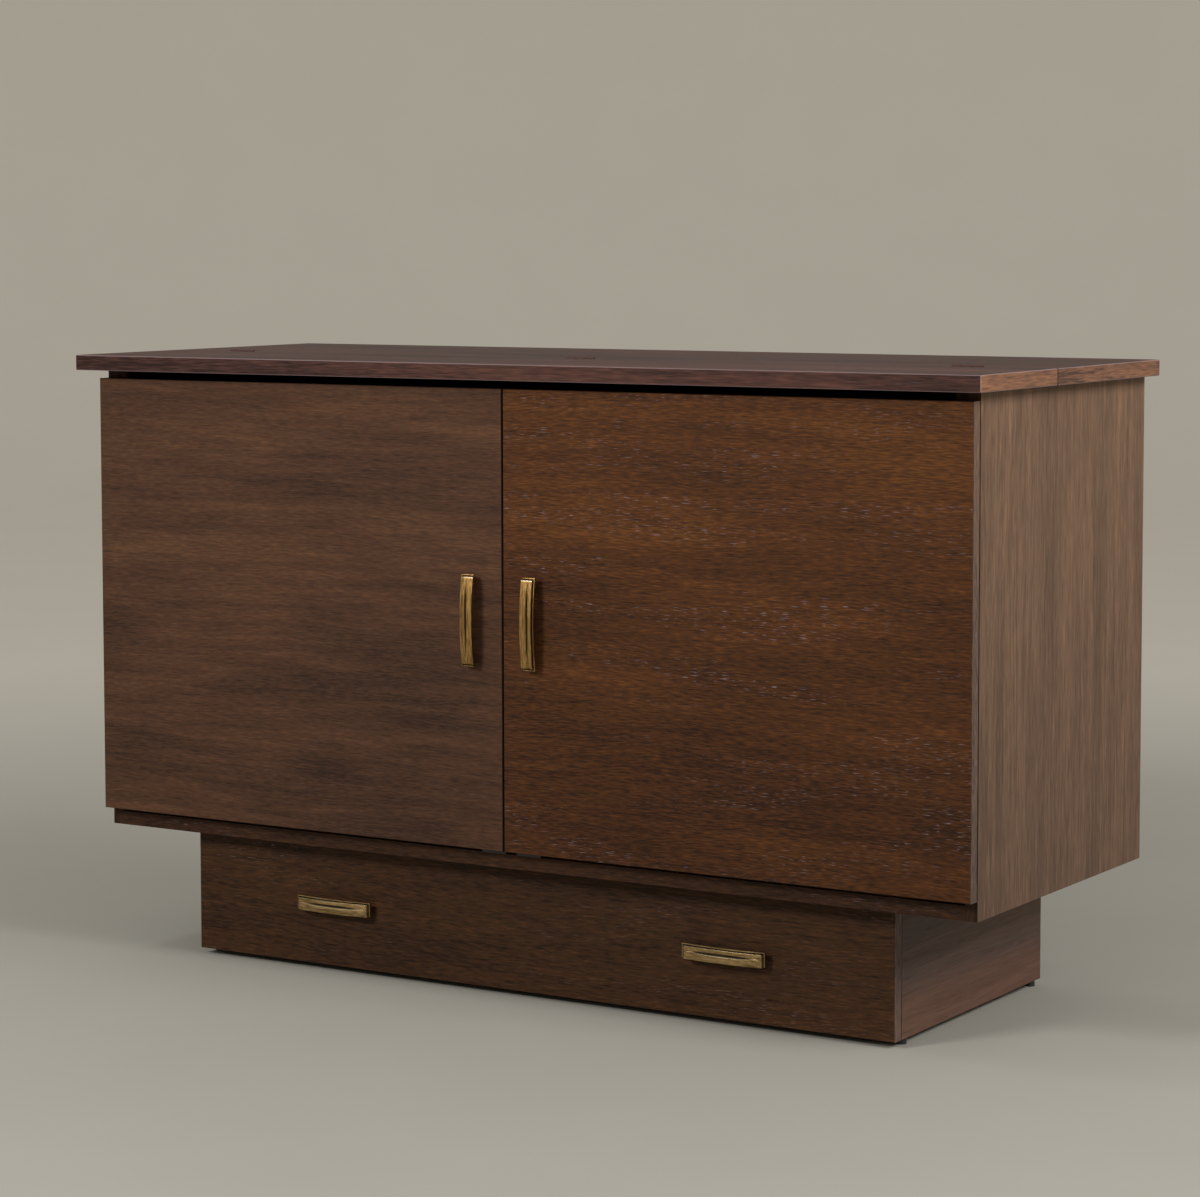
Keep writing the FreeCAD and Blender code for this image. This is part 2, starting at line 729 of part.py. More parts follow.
strike_top = f"({floor_top} + {size('catch_tall')} - 1)"
right_strike = keep(board("strike", (f"{size('catch_offset')} + {size('strike_inset')}",
                                     f"{catch_end} - {size('strike_inset')}"),
                          (door_back, f"{door_back} + {size('strike_thick')}"),
                          (f"{strike_top} - {size('strike_tall')}", strike_top)),
                    "right_strike_plate")
keep(mirrored("strike_left", right_strike), "left_strike_plate")


# ---------------------------------------------------------------- the base

half_base = f"({half_case} - {size('base_side_inset')})"
half_base_inside = f"({half_base} - {size('board_thick')})"
drawer_face = f"({door_face} + {size('base_front_inset')})"
drawer_front_back = f"({drawer_face} + {size('drawer_front_thick')})"
base_front = f"({drawer_front_back} + {size('shadow_gap')})"
base_back = f"({top_back} - {size('base_back_inset')})"
base_back_inner = f"({base_back} - {size('board_thick')})"
base_z = (size("glide_height"), size("case_lift"))

right_base = keep(board("base_side", (half_base_inside, half_base), (base_front, base_back), base_z),
                  "base_right_side")
keep(mirrored("base_side_left", right_base), "base_left_side")
base_inside = (f"-{half_base_inside}", half_base_inside)
keep(board("base_back_board", base_inside, (base_back_inner, base_back), base_z), "base_back")
keep(board("base_rail", base_inside, (base_front, f"{base_front} + {size('rail_deep')}"),
           (f"{size('case_lift')} - {size('rail_tall')}", size("case_lift"))), "base_front_rail")


def glide(name, x, y):
    """A nail-on furniture glide."""
    return rod(name, (x, y, "0"), UPRIGHT, size("glide_radius"), size("glide_height"))


glide_x = f"({half_base} - {size('board_thick')} / 2)"
glide_y = f"({base_back} - {size('board_thick')} / 2)"
right_glides = [glide("glide_front", glide_x, f"{base_front} + {size('glide_end_gap')}"),
                glide("glide_rear", glide_x, f"{base_back} - {size('glide_end_gap')}"),
                glide("glide_middle", f"{half_base} - {size('glide_side_gap')}", glide_y)]
left_glides = [mirrored(f"{item.Name}_left", item) for item in right_glides]
keep(group("glides", right_glides + left_glides), "base_glides")


# ---------------------------------------------------------------- the drawer

half_box = f"({half_base_inside} - {size('runner_gap')})"
half_box_inside = f"({half_box} - {size('drawer_board')})"
box_back = f"({base_back_inner} - {size('drawer_back_gap')})"
subfront_back = f"({drawer_front_back} + {size('drawer_board')})"
wall_bottom = f"({size('glide_height')} + {size('drawer_wall_lift')})"
wall_top = f"({size('case_lift')} - {size('drawer_wall_gap')})"
drawer_floor = f"({size('glide_height')} + {size('drawer_floor_lift')})"
drawer_floor_top = f"({drawer_floor} + {size('drawer_floor_thick')})"
drawer_front_top = f"({size('case_lift')} - {size('drawer_top_gap')})"
drawer_middle = f"(({size('glide_height')} + {drawer_front_top}) / 2)"


def drawer_front():
    """The drawer's slab front, as wide as the base."""
    body = new_body("drawer_face")
    outline = place_sketch(body, "drawer_face_outline", "XZ_Plane", f"-{drawer_front_back}")
    draw_outline(outline, rectangle(f"-{half_base}", half_base, size("glide_height"), drawer_front_top))
    pad(body, outline, size("drawer_front_thick"))
    face_y = value(drawer_face)
    soften(body, "Chamfer", "Size", size("door_arris"),
           lambda edge: abs(edge.CenterOfMass.y - face_y) < 0.01)
    return body


def drawer_side():
    """A side of the drawer box, grooved for the drawer's bottom."""
    blank = board("box_side_blank", (half_box_inside, half_box), (drawer_front_back, box_back),
                  (wall_bottom, wall_top))
    groove = board("box_side_groove", (half_box_inside, f"{half_box_inside} + {size('drawer_groove')}"),
                   (subfront_back, f"{box_back} + 1"), (drawer_floor, drawer_floor_top))
    return without("box_side", blank, [groove])


box_inside = (f"-{half_box_inside}", half_box_inside)
half_floor = f"({half_box_inside} + {size('drawer_groove')})"
keep(drawer_front(), "drawer_front")
right_box_side = keep(drawer_side(), "drawer_right_side")
keep(mirrored("box_side_left", right_box_side), "drawer_left_side")
keep(board("subfront", box_inside, (drawer_front_back, subfront_back), (wall_bottom, wall_top)),
     "drawer_subfront")
keep(board("box_floor", (f"-{half_floor}", half_floor), (subfront_back, box_back),
           (drawer_floor, drawer_floor_top)), "drawer_bottom")
keep(board("box_back", box_inside, (f"{box_back} - {size('drawer_board')}", box_back),
           (drawer_floor_top, wall_top)), "drawer_back")

drawer_pulls = []
for name, side in (("right", "+"), ("left", "-")):
    drawer_pulls.append(copy_at(f"drawer_pull_{name}", the_pull,
                                f"0 {side} {size('drawer_pull_offset')}", drawer_face, drawer_middle,
                                QUARTER_TURN))
keep(group("drawer_pull_pair", drawer_pulls), "drawer_pulls")


# ---------------------------------------------------------------- the drawer runners

# Three channels of pressed steel nest on each side: the outer one is screwed to the base,
# the inner one to the drawer, and the middle one runs between them at half the travel.

runner_z = f"(({wall_bottom} + {wall_top}) / 2)"
runner_start = f"({base_front} + {size('runner_end_gap')})"
runner_length = f"({box_back} - {runner_start})"


def channel(name, web_side, mouth_side, half_tall, web_outwards):
    """A U channel on edge: a web, and two flanges that reach to the mouth."""
    sheet_thick = size("runner_sheet")
    low_x, high_x = (mouth_side, web_side) if web_outwards else (web_side, mouth_side)
    blank = board(f"{name}_blank", (low_x, high_x), (runner_start, f"{runner_start} + {runner_length}"),
                  (f"{runner_z} - {half_tall}", f"{runner_z} + {half_tall}"))
    hollow_low = f"{low_x} - 1" if web_outwards else f"{low_x} + {sheet_thick}"
    hollow_high = f"{high_x} - {sheet_thick}" if web_outwards else f"{high_x} + 1"
    hollow = board(f"{name}_hollow", (hollow_low, hollow_high),
                   (f"{runner_start} - 1", f"{runner_start} + {runner_length} + 1"),
                   (f"{runner_z} - {half_tall} + {sheet_thick}",
                    f"{runner_z} + {half_tall} - {sheet_thick}"))
    return without(name, blank, [hollow])


runner_step = f"({size('runner_sheet')} + {size('runner_play')})"
half_runner = f"({size('runner_tall')} / 2)"
runner_mouth = f"({half_box} + {size('runner_mouth')})"
middle_web = f"({half_base_inside} - {runner_step})"
inner_mouth = f"({middle_web} - {runner_step})"
runner_members = [
    ("drawer_runner_outer_members",
     channel("runner_outer", half_base_inside, runner_mouth, half_runner, True)),
    ("drawer_runner_middle_members",
     channel("runner_middle", middle_web, runner_mouth, f"({half_runner} - {runner_step})", True)),
    ("drawer_runner_inner_members",
     channel("runner_inner", half_box, inner_mouth, f"({half_runner} - 2 * {runner_step})", False)),
]
for label, member in runner_members:
    keep(group(f"{member.Name}_pair", [member, mirrored(f"{member.Name}_left", member)]), label)


# ---------------------------------------------------------------- the folded platform

# Folded away, the two platform panels stand behind the doors with their sleeping faces
# together. The inner panel hinges on the front edge of the fixed deck, the outer one on the
# top edge of the inner one, and the outer panel's legs are folded against its underside.

BED_HINGES = 4
LEGS = 3
deck_top = f"({floor_top} + {size('deck_thick')})"
half_platform = f"({cleat_face} - {size('platform_side_gap')})"
inner_front = f"({case_front} + {size('platform_setback')})"
inner_back = f"({inner_front} + {size('platform_thick')})"
outer_front = f"({inner_back} + {size('fold_gap')})"
outer_back = f"({outer_front} + {size('platform_thick')})"
platform_top = f"({case_top} - {size('platform_top_gap')})"
outer_bottom = f"({deck_top} + {size('platform_foot_gap')})"
platform_x = (f"-{half_platform}", half_platform)

keep(board("deck", platform_x, (inner_back, back_face), (floor_top, deck_top)), "fixed_deck")
keep(board("inner_board", platform_x, (inner_front, inner_back), (f"{deck_top} + 1", platform_top)),
     "platform_inner_panel")
keep(board("outer_board", platform_x, (outer_front, outer_back), (outer_bottom, platform_top)),
     "platform_outer_panel")

half_bed_hinge = f"({size('bed_hinge_long')} / 2)"
barrel = size("bed_hinge_barrel")
leaf = size("bed_hinge_leaf")
sheet_metal = size("bed_hinge_sheet")
bed_hinge_x = (f"-{half_bed_hinge}", half_bed_hinge)


def deck_hinge():
    """A butt hinge in the corner between the deck and the inner panel."""
    pin_at_y = f"({inner_back} + {barrel})"
    pin_at_z = f"({deck_top} + {barrel})"
    return joined("deck_hinge", [
        rod("deck_barrel", (f"-{half_bed_hinge}", pin_at_y, pin_at_z), ALONG_X, barrel,
            size("bed_hinge_long")),
        board("deck_leaf", bed_hinge_x, (pin_at_y, f"{pin_at_y} + {leaf}"),
              (deck_top, f"{deck_top} + {sheet_metal}")),
        board("wall_leaf", bed_hinge_x, (inner_back, f"{inner_back} + {sheet_metal}"),
              (pin_at_z, f"{pin_at_z} + {leaf}")),
    ])


def fold_hinge():
    """A butt hinge across the top edges of the two folded panels."""
    pin_at_y = f"(({inner_back} + {outer_front}) / 2)"
    half_span = f"({size('platform_thick')} * 0.8)"
    return joined("fold_hinge", [
        rod("fold_barrel", (f"-{half_bed_hinge}", pin_at_y, f"{platform_top} + {barrel}"), ALONG_X,
            barrel, size("bed_hinge_long")),
        board("fold_leaf", bed_hinge_x, (f"{pin_at_y} - {half_span}", f"{pin_at_y} + {half_span}"),
              (platform_top, f"{platform_top} + {sheet_metal}")),
    ])


bed_hinge_start = f"(-{half_platform} + {size('bed_hinge_end_gap')})"
bed_hinge_span = f"(2 * {half_platform} - 2 * {size('bed_hinge_end_gap')})"
keep(row_of("deck_hinges", deck_hinge(), bed_hinge_start, bed_hinge_span, BED_HINGES),
     "deck_hinges")
keep(row_of("fold_hinges", fold_hinge(), bed_hinge_start, bed_hinge_span, BED_HINGES),
     "platform_fold_hinges")

# In use the legs stand from the platform's underside to the floor, which sets their length.
leg_pivot_y = f"({outer_back} + {size('leg_pivot_drop')})"
leg_pivot_z = f"({outer_bottom} + {size('leg_lift')})"
leg_reach = f"({floor_top} - {size('leg_pivot_drop')} - {size('leg_foot_thick')})"
half_leg = f"({size('leg_square')} / 2)"


def folded_leg():
    """A square leg with a rubber foot, folded up against the panel."""
    bar = board("leg_bar", (f"-{half_leg}", half_leg),
                (f"{leg_pivot_y} - {half_leg}", f"{leg_pivot_y} + {half_leg}"),
                (f"{leg_pivot_z} - {half_leg}", f"{leg_pivot_z} + {leg_reach}"))
    hole = rod("leg_hole", (f"-{half_leg} - 1", leg_pivot_y, leg_pivot_z), ALONG_X,
               f"{size('leg_pin_radius')} + {size('leg_pin_fit')}", f"2 * {half_leg} + 2")
    return without("leg", bar, [hole])


def leg_foot():
    """The rubber foot on a leg's end."""
    inset = f"({half_leg} - {size('leg_foot_inset')})"
    leg_end = f"({leg_pivot_z} + {leg_reach})"
    return board("leg_foot", (f"-{inset}", inset),
                 (f"{leg_pivot_y} - {inset}", f"{leg_pivot_y} + {inset}"),
                 (leg_end, f"{leg_end} + {size('leg_foot_thick')}"))


def leg_bracket():
    """Two angle plates screwed to the panel, with the leg's pin between them."""
    near = f"({half_leg} + {size('leg_play')})"
    far = f"({near} + {size('ear_thick')})"
    low = f"({leg_pivot_z} - {size('ear_tall')} / 2)"
    high = f"({leg_pivot_z} + {size('ear_tall')} / 2)"
    parts = [rod("leg_pin", (f"-{far}", leg_pivot_y, leg_pivot_z), ALONG_X, size("leg_pin_radius"),
                 f"2 * {far}")]
    edge = f"({far} + {size('ear_flange')})"
    ear_y = (outer_back, f"{leg_pivot_y} + {half_leg}")
    flange_y = (outer_back, f"{outer_back} + {size('ear_thick')}")
    for name, ear_x, flange_x in (("left", (f"-{far}", f"-{near}"), (f"-{edge}", f"-{far}")),
                                  ("right", (near, far), (far, edge))):
        parts.append(board(f"ear_{name}", ear_x, ear_y, (low, high)))
        parts.append(board(f"ear_flange_{name}", flange_x, flange_y, (low, high)))
    return joined("leg_bracket", parts)


leg_start = f"(-{half_platform} + {size('leg_end_gap')})"
leg_span = f"(2 * {half_platform} - 2 * {size('leg_end_gap')})"
keep(row_of("legs", folded_leg(), leg_start, leg_span, LEGS), "platform_legs")
keep(row_of("leg_feet", leg_foot(), leg_start, leg_span, LEGS), "platform_leg_feet")
keep(row_of("leg_brackets", leg_bracket(), leg_start, leg_span, LEGS), "platform_leg_brackets")


# ---------------------------------------------------------------- the folded mattress

mattress_front = f"({leg_pivot_y} + {half_leg} + {size('mattress_front_gap')})"
mattress_back = f"({back_face} - {size('mattress_back_gap')})"
mattress_pitch = f"(({mattress_back} - {mattress_front} + {size('mattress_fold_gap')}) / 3)"
half_mattress = f"({half_inside} - {size('mattress_side_gap')})"
mattress_top = f"({case_top} - {size('mattress_top_gap')})"


def mattress_section(name, number):
    """One third of the mattress, a boxed foam block with round corners, standing on its side."""
    body = new_body(name)
    face = f"({mattress_front} + {number} * {mattress_pitch})"
    outline = place_sketch(body, f"{name}_outline", "XZ_Plane", f"-{face}")
    draw_outline(outline, rectangle(f"-{half_mattress}", half_mattress, deck_top, mattress_top))
    pad(body, outline, f"{mattress_pitch} - {size('mattress_fold_gap')}", backwards=True)
    soften(body, "Fillet", "Radius", size("mattress_round"),
           lambda edge: edge.Length < value(mattress_pitch))
    return body


for number, name in enumerate(("mattress_foot", "mattress_middle", "mattress_head")):
    keep(mattress_section(f"{name}_foam", number), f"{name}_section")


# ---------------------------------------------------------------- writing the pieces

doc.recompute()
for obj in doc.Objects:
    if any(word in state for state in obj.State for word in ("Invalid", "Error")):
        raise RuntimeError(f"{obj.Label} did not rebuild: {obj.State}")
os.makedirs("parts", exist_ok=True)
for obj in nodes:
    if obj.Shape.isNull() or not obj.Shape.isValid() or not obj.Shape.Solids:
        raise RuntimeError(f"{obj.Label} has no valid solid")
for obj in nodes:
    obj.Shape.exportStep(f"parts/{obj.Label}.step")
    box = obj.Shape.BoundBox
    print(f"{obj.Label:30s} solids {len(obj.Shape.Solids):2d}  "
          f"x {box.XMin:8.1f} {box.XMax:8.1f}  y {box.YMin:7.1f} {box.YMax:7.1f}  "
          f"z {box.ZMin:7.1f} {box.ZMax:7.1f}")
print(len(nodes), "pieces")
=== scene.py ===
import math
import bmesh
import bpy
from mathutils import Matrix, Vector
from mathutils.bvhtree import BVHTree


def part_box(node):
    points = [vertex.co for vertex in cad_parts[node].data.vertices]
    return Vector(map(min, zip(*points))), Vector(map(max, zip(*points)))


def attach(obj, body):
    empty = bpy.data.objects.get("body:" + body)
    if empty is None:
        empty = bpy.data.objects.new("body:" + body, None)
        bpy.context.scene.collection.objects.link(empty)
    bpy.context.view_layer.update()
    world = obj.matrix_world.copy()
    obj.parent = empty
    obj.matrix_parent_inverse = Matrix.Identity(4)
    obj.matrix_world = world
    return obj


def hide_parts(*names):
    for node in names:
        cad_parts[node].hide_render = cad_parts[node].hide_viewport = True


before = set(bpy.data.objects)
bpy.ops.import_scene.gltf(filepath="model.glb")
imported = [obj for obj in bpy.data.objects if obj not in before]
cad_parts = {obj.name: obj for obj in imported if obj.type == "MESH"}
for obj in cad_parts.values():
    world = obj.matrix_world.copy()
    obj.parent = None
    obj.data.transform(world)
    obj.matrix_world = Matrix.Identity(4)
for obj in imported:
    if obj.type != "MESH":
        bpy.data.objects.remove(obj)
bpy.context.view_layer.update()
scene = bpy.context.scene


# ---------------------------------------------------------------- camera

# The camera stands in front and to the right, a little above the top, and looks slightly down.
# Its principal point lies left of and above the middle of the picture, which the shift repeats.

picture_width, picture_height = 1200, 1197
principal_x, principal_y = 550, 500
focal_pixels = 3434.0
sensor_width = 36
camera_place = (2.8715, -4.6944, 1.2042)
camera_turn, camera_pitch, camera_roll = 0.5641, -0.079, -0.0028


def link(name, data):
    """Put a camera, light, mesh or curve into the scene."""
    thing = bpy.data.objects.new(name, data)
    scene.collection.objects.link(thing)
    return thing


lens = bpy.data.cameras.new("camera")
lens.sensor_width = sensor_width
lens.lens = focal_pixels / picture_width * sensor_width
lens.shift_x = (picture_width / 2 - principal_x) / picture_width
lens.shift_y = (principal_y - picture_height / 2) / picture_width
scene.camera = link("camera", lens)
scene.camera.matrix_world = (Matrix.Translation(camera_place)
                             @ Matrix.Rotation(camera_turn, 4, "Z")
                             @ Matrix.Rotation(math.pi / 2 + camera_pitch, 4, "X")
                             @ Matrix.Rotation(camera_roll, 4, "Z"))


# ---------------------------------------------------------------- light and floor

# A soft light stands in front at the left, a second one at the right brings out the end of the
# case, and a small weak one overhead adds glints. A pale round studio, which glows away from the
# cabinet, fills the shadows and lies in the gloss.

surround_colour = (0.42, 0.40, 0.37, 1)
case_front, case_end = (0, -0.3, 0.6), (0.8, 0, 0.6)

scene.view_settings.view_transform = "Standard"
scene.view_settings.look = "None"

surround = bpy.data.worlds.new("surround")
surround.use_nodes = True
surround.node_tree.nodes["Background"].inputs["Color"].default_value = surround_colour
scene.world = surround


def soft_light(name, place, aim, width, height, watts, colour):
    """A rectangular studio light that shines from its place towards the aim."""
    light = bpy.data.lights.new(name, "AREA")
    light.shape = "RECTANGLE"
    light.size = width
    light.size_y = height
    light.energy = watts
    light.color = colour
    lamp = link(name, light)
    lamp.location = place
    lamp.rotation_euler = (Vector(aim) - Vector(place)).to_track_quat("-Z", "Y").to_euler()
    lamp.visible_camera = False


soft_light("front_light", (-1.7, -4.4, 2.9), case_front, 1.3, 1.0, 128, (1, 0.97, 0.93))
soft_light("end_light", (4.2, -0.6, 3.2), case_end, 1.8, 1.8, 132, (1, 0.97, 0.94))
soft_light("overhead_light", (-1.3, -0.9, 2.8), case_front, 0.5, 0.5, 6, (1, 1, 1))


class Value:
    """A number, colour or vector inside a finish. Sums on it add the maths to the finish."""

    def __init__(self, finish, socket):
        self.finish = finish
        self.socket = socket

    def __add__(self, other):
        return self.finish.maths("ADD", self, other)

    __radd__ = __add__

    def __sub__(self, other):
        return self.finish.maths("SUBTRACT", self, other)

    def __rsub__(self, other):
        return self.finish.maths("SUBTRACT", other, self)

    def __mul__(self, other):
        return self.finish.maths("MULTIPLY", self, other)

    __rmul__ = __mul__

    def __gt__(self, other):
        return self.finish.maths("GREATER_THAN", self, other)


class Finish:
    """The finish of one kind of surface: a material and the pattern that feeds its shader."""

    def __init__(self, name):
        self.material = bpy.data.materials.new(name)
        self.material.use_nodes = True
        self.tree = self.material.node_tree
        self.shader = self.tree.nodes["Principled BSDF"]

    def feed(self, socket, value):
        """Link a value to a socket, or set the socket to a plain number or colour."""
        if isinstance(value, Value):
            self.tree.links.new(value.socket, socket)
        else:
            socket.default_value = value

    def node(self, kind, settings=None, inputs=None, out=0):
        """Add a node: its settings first, then the numbers or links of its sockets."""
        made = self.tree.nodes.new(f"ShaderNode{kind}")
        for name, setting in (settings or {}).items():
            if name == "stops":
                ramp = made.color_ramp.elements
                while len(ramp) < len(setting):
                    ramp.new(1)
                for stop, (position, colour) in zip(ramp, setting):
                    stop.position = position
                    stop.color = (*colour, 1)
            else:
                setattr(made, name, setting)
        for name, value in (inputs or {}).items():
            self.feed(made.inputs[name], value)
        return Value(self, made.outputs[out])

    def maths(self, operation, *values):
        """Add a Math node on one or two values."""
        return self.node("Math", {"operation": operation}, dict(enumerate(values)))

    def mixed(self, share, low, high):
        """Two colours mixed by a share from 0 to 1, in the mixer's colour sockets, 6 and 7."""
        return self.node("Mix", {"data_type": "RGBA"}, {0: share, 6: low, 7: high}, out=2)

    def rise(self, value, low, high):
        """0 below the low limit, 1 above the high one, and smooth between them."""
        inputs = {"Value": value, "From Min": low, "From Max": high}
        return self.node("MapRange", {"interpolation_type": "SMOOTHSTEP"}, inputs)

    def noise(self, x, y, z, detail=2.0, rough=0.5):
        """Soft noise about one unit across, read at three coordinates."""
        place = self.node("CombineXYZ", inputs={"X": x, "Y": y, "Z": z})
        inputs = {"Vector": place, "Scale": 1.0, "Detail": detail, "Roughness": rough}
        return self.node("TexNoise", inputs=inputs)

    def split(self, vector):
        """A vector's three numbers, by the letter of their axis."""
        parts = self.node("SeparateXYZ", inputs={"Vector": vector}).socket.node.outputs
        return {axis: Value(self, parts[axis]) for axis in "XYZ"}

    def place(self):
        """Where a spot lies on the object, in metres along X, Y and Z."""
        return self.split(self.node("TexCoord", out="Object"))

    def facing(self):
        """How squarely a spot faces along X, Y and Z, either way, from 0 to 1."""
        normal = self.node("TexCoord", out="Normal")
        return self.split(self.node("VectorMath", {"operation": "ABSOLUTE"}, {0: normal}))

    def bump(self, height, strength, distance):
        """Raise and sink the surface in the light by a height."""
        inputs = {"Height": height, "Strength": strength, "Distance": distance}
        self.set(Normal=self.node("Bump", inputs=inputs))

    def set(self, **values):
        """Feed or set sockets of the shader; Base_Color stands for Base Color."""
        for name, value in values.items():
            self.feed(self.shader.inputs[name.replace("_", " ")], value)


def screen(red, green, blue):
    """A colour picked in screen values from 0 to 255, as the shader needs it."""
    levels = [level / 255 for level in (red, green, blue)]
    return tuple(((level + 0.055) / 1.055) ** 2.4 if level > 0.04045 else level / 12.92
                 for level in levels)


def paint(red, green, blue):
    """The same colour with its opacity, for a socket."""
    return (*screen(red, green, blue), 1)


MM = 0.001
studio_radius, studio_height, studio_cove = 12, 5, 2.5
cove_steps, turn_steps = 8, 96
glow_begins, glow_full = 1, 4.5
glow_colour = (0.192, 0.174, 0.147, 1)


def studio_finish():
    """Matt plaster, faintly mottled, that glows like a light tent away from the cabinet."""
    finish = Finish("pale_studio")
    x, y, z = finish.place().values()
    mottle = finish.noise(x * 2.5, y * 2.5, z * 2.5, detail=4.0)
    colour = finish.mixed(mottle, paint(163, 162, 155), paint(169, 168, 161))
    reach = finish.node("VectorMath", {"operation": "LENGTH"},
                        {0: finish.node("TexCoord", out="Object")}, out="Value")
    glow = finish.mixed(finish.rise(reach, glow_begins, glow_full), paint(0, 0, 0), glow_colour)
    finish.set(Base_Color=colour, Roughness=0.9, Specular_IOR_Level=0.1,
               Emission_Color=glow, Emission_Strength=1.0)
    return finish


def mesh_from(name, shape):
    """Turn a finished bmesh into a mesh, and free it."""
    mesh = bpy.data.meshes.new(name)
    shape.to_mesh(mesh)
    shape.free()
    return mesh


outline = [(0, 0)]
for step in range(cove_steps + 1):
    angle = step / cove_steps * math.pi / 2
    outline.append((studio_radius - studio_cove + studio_cove * math.sin(angle),
                    studio_cove - studio_cove * math.cos(angle)))
outline.append((studio_radius, studio_height))
studio_shape = bmesh.new()
line = [studio_shape.verts.new((radius, 0, height)) for radius, height in outline]
for first, second in zip(line, line[1:]):
    studio_shape.edges.new((first, second))
bmesh.ops.spin(studio_shape, geom=studio_shape.verts[:] + studio_shape.edges[:], cent=(0, 0, 0),
               axis=(0, 0, 1), angle=math.tau, steps=turn_steps, use_merge=True)
bmesh.ops.remove_doubles(studio_shape, verts=studio_shape.verts, dist=MM)
bmesh.ops.recalc_face_normals(studio_shape, faces=studio_shape.faces)
studio_mesh = mesh_from("studio", studio_shape)
studio_mesh.shade_smooth()
studio_mesh.materials.append(studio_finish().material)
link("studio", studio_mesh)


# ---------------------------------------------------------------- the case

# The two sides stand on their vertical grain, and the bottom and its lipping run from side to
# side between them. All are boards faced with brown-stained walnut veneer, lacquered satin.

case_middle = 0.55
squarely = 0.7
tone_levels = (0.36, 0.46, 0.56, 0.7)
pore_brown, pore_filler = paint(14, 8, 6), paint(150, 134, 142)
painted_seam_shade, painted_light_brown = paint(20, 12, 10), paint(118, 74, 48)


def dress(finish, *names):
    """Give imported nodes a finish."""
    for name in names:
        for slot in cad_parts[name].material_slots:
            slot.material = finish.material


def tones(*colours):
    """The tones of a wood, from its darkest bands to its lightest."""
    return [screen(*colour) for colour in colours]


# What a veneer's keywords mean: marks is how much pale filler shows in its pores, gloss its
# roughness and lustre its shine. The figure is drawn out by long. Its fine dashes stand out by
# crisp, its clouds and bands by figure, and painted_falloff paints it paler upwards and darker
# towards the floor, a painted shade of the light falling off. By edge_wear_and_painted_light its
# arrises take painted_arris_tone: a painted highlight where that tone is pale, painted shade where
# it is dark. Its ends, or its faces on the edge_face axis, have the edge tones. Boards meet in a
# line of painted shade at the seam, a place on Y. By painted_lit_band, painted light lies in a
# warm band low on the piece, where light falls below the shadow of the case: it shows below the
# first of two heights and is gone above the second.


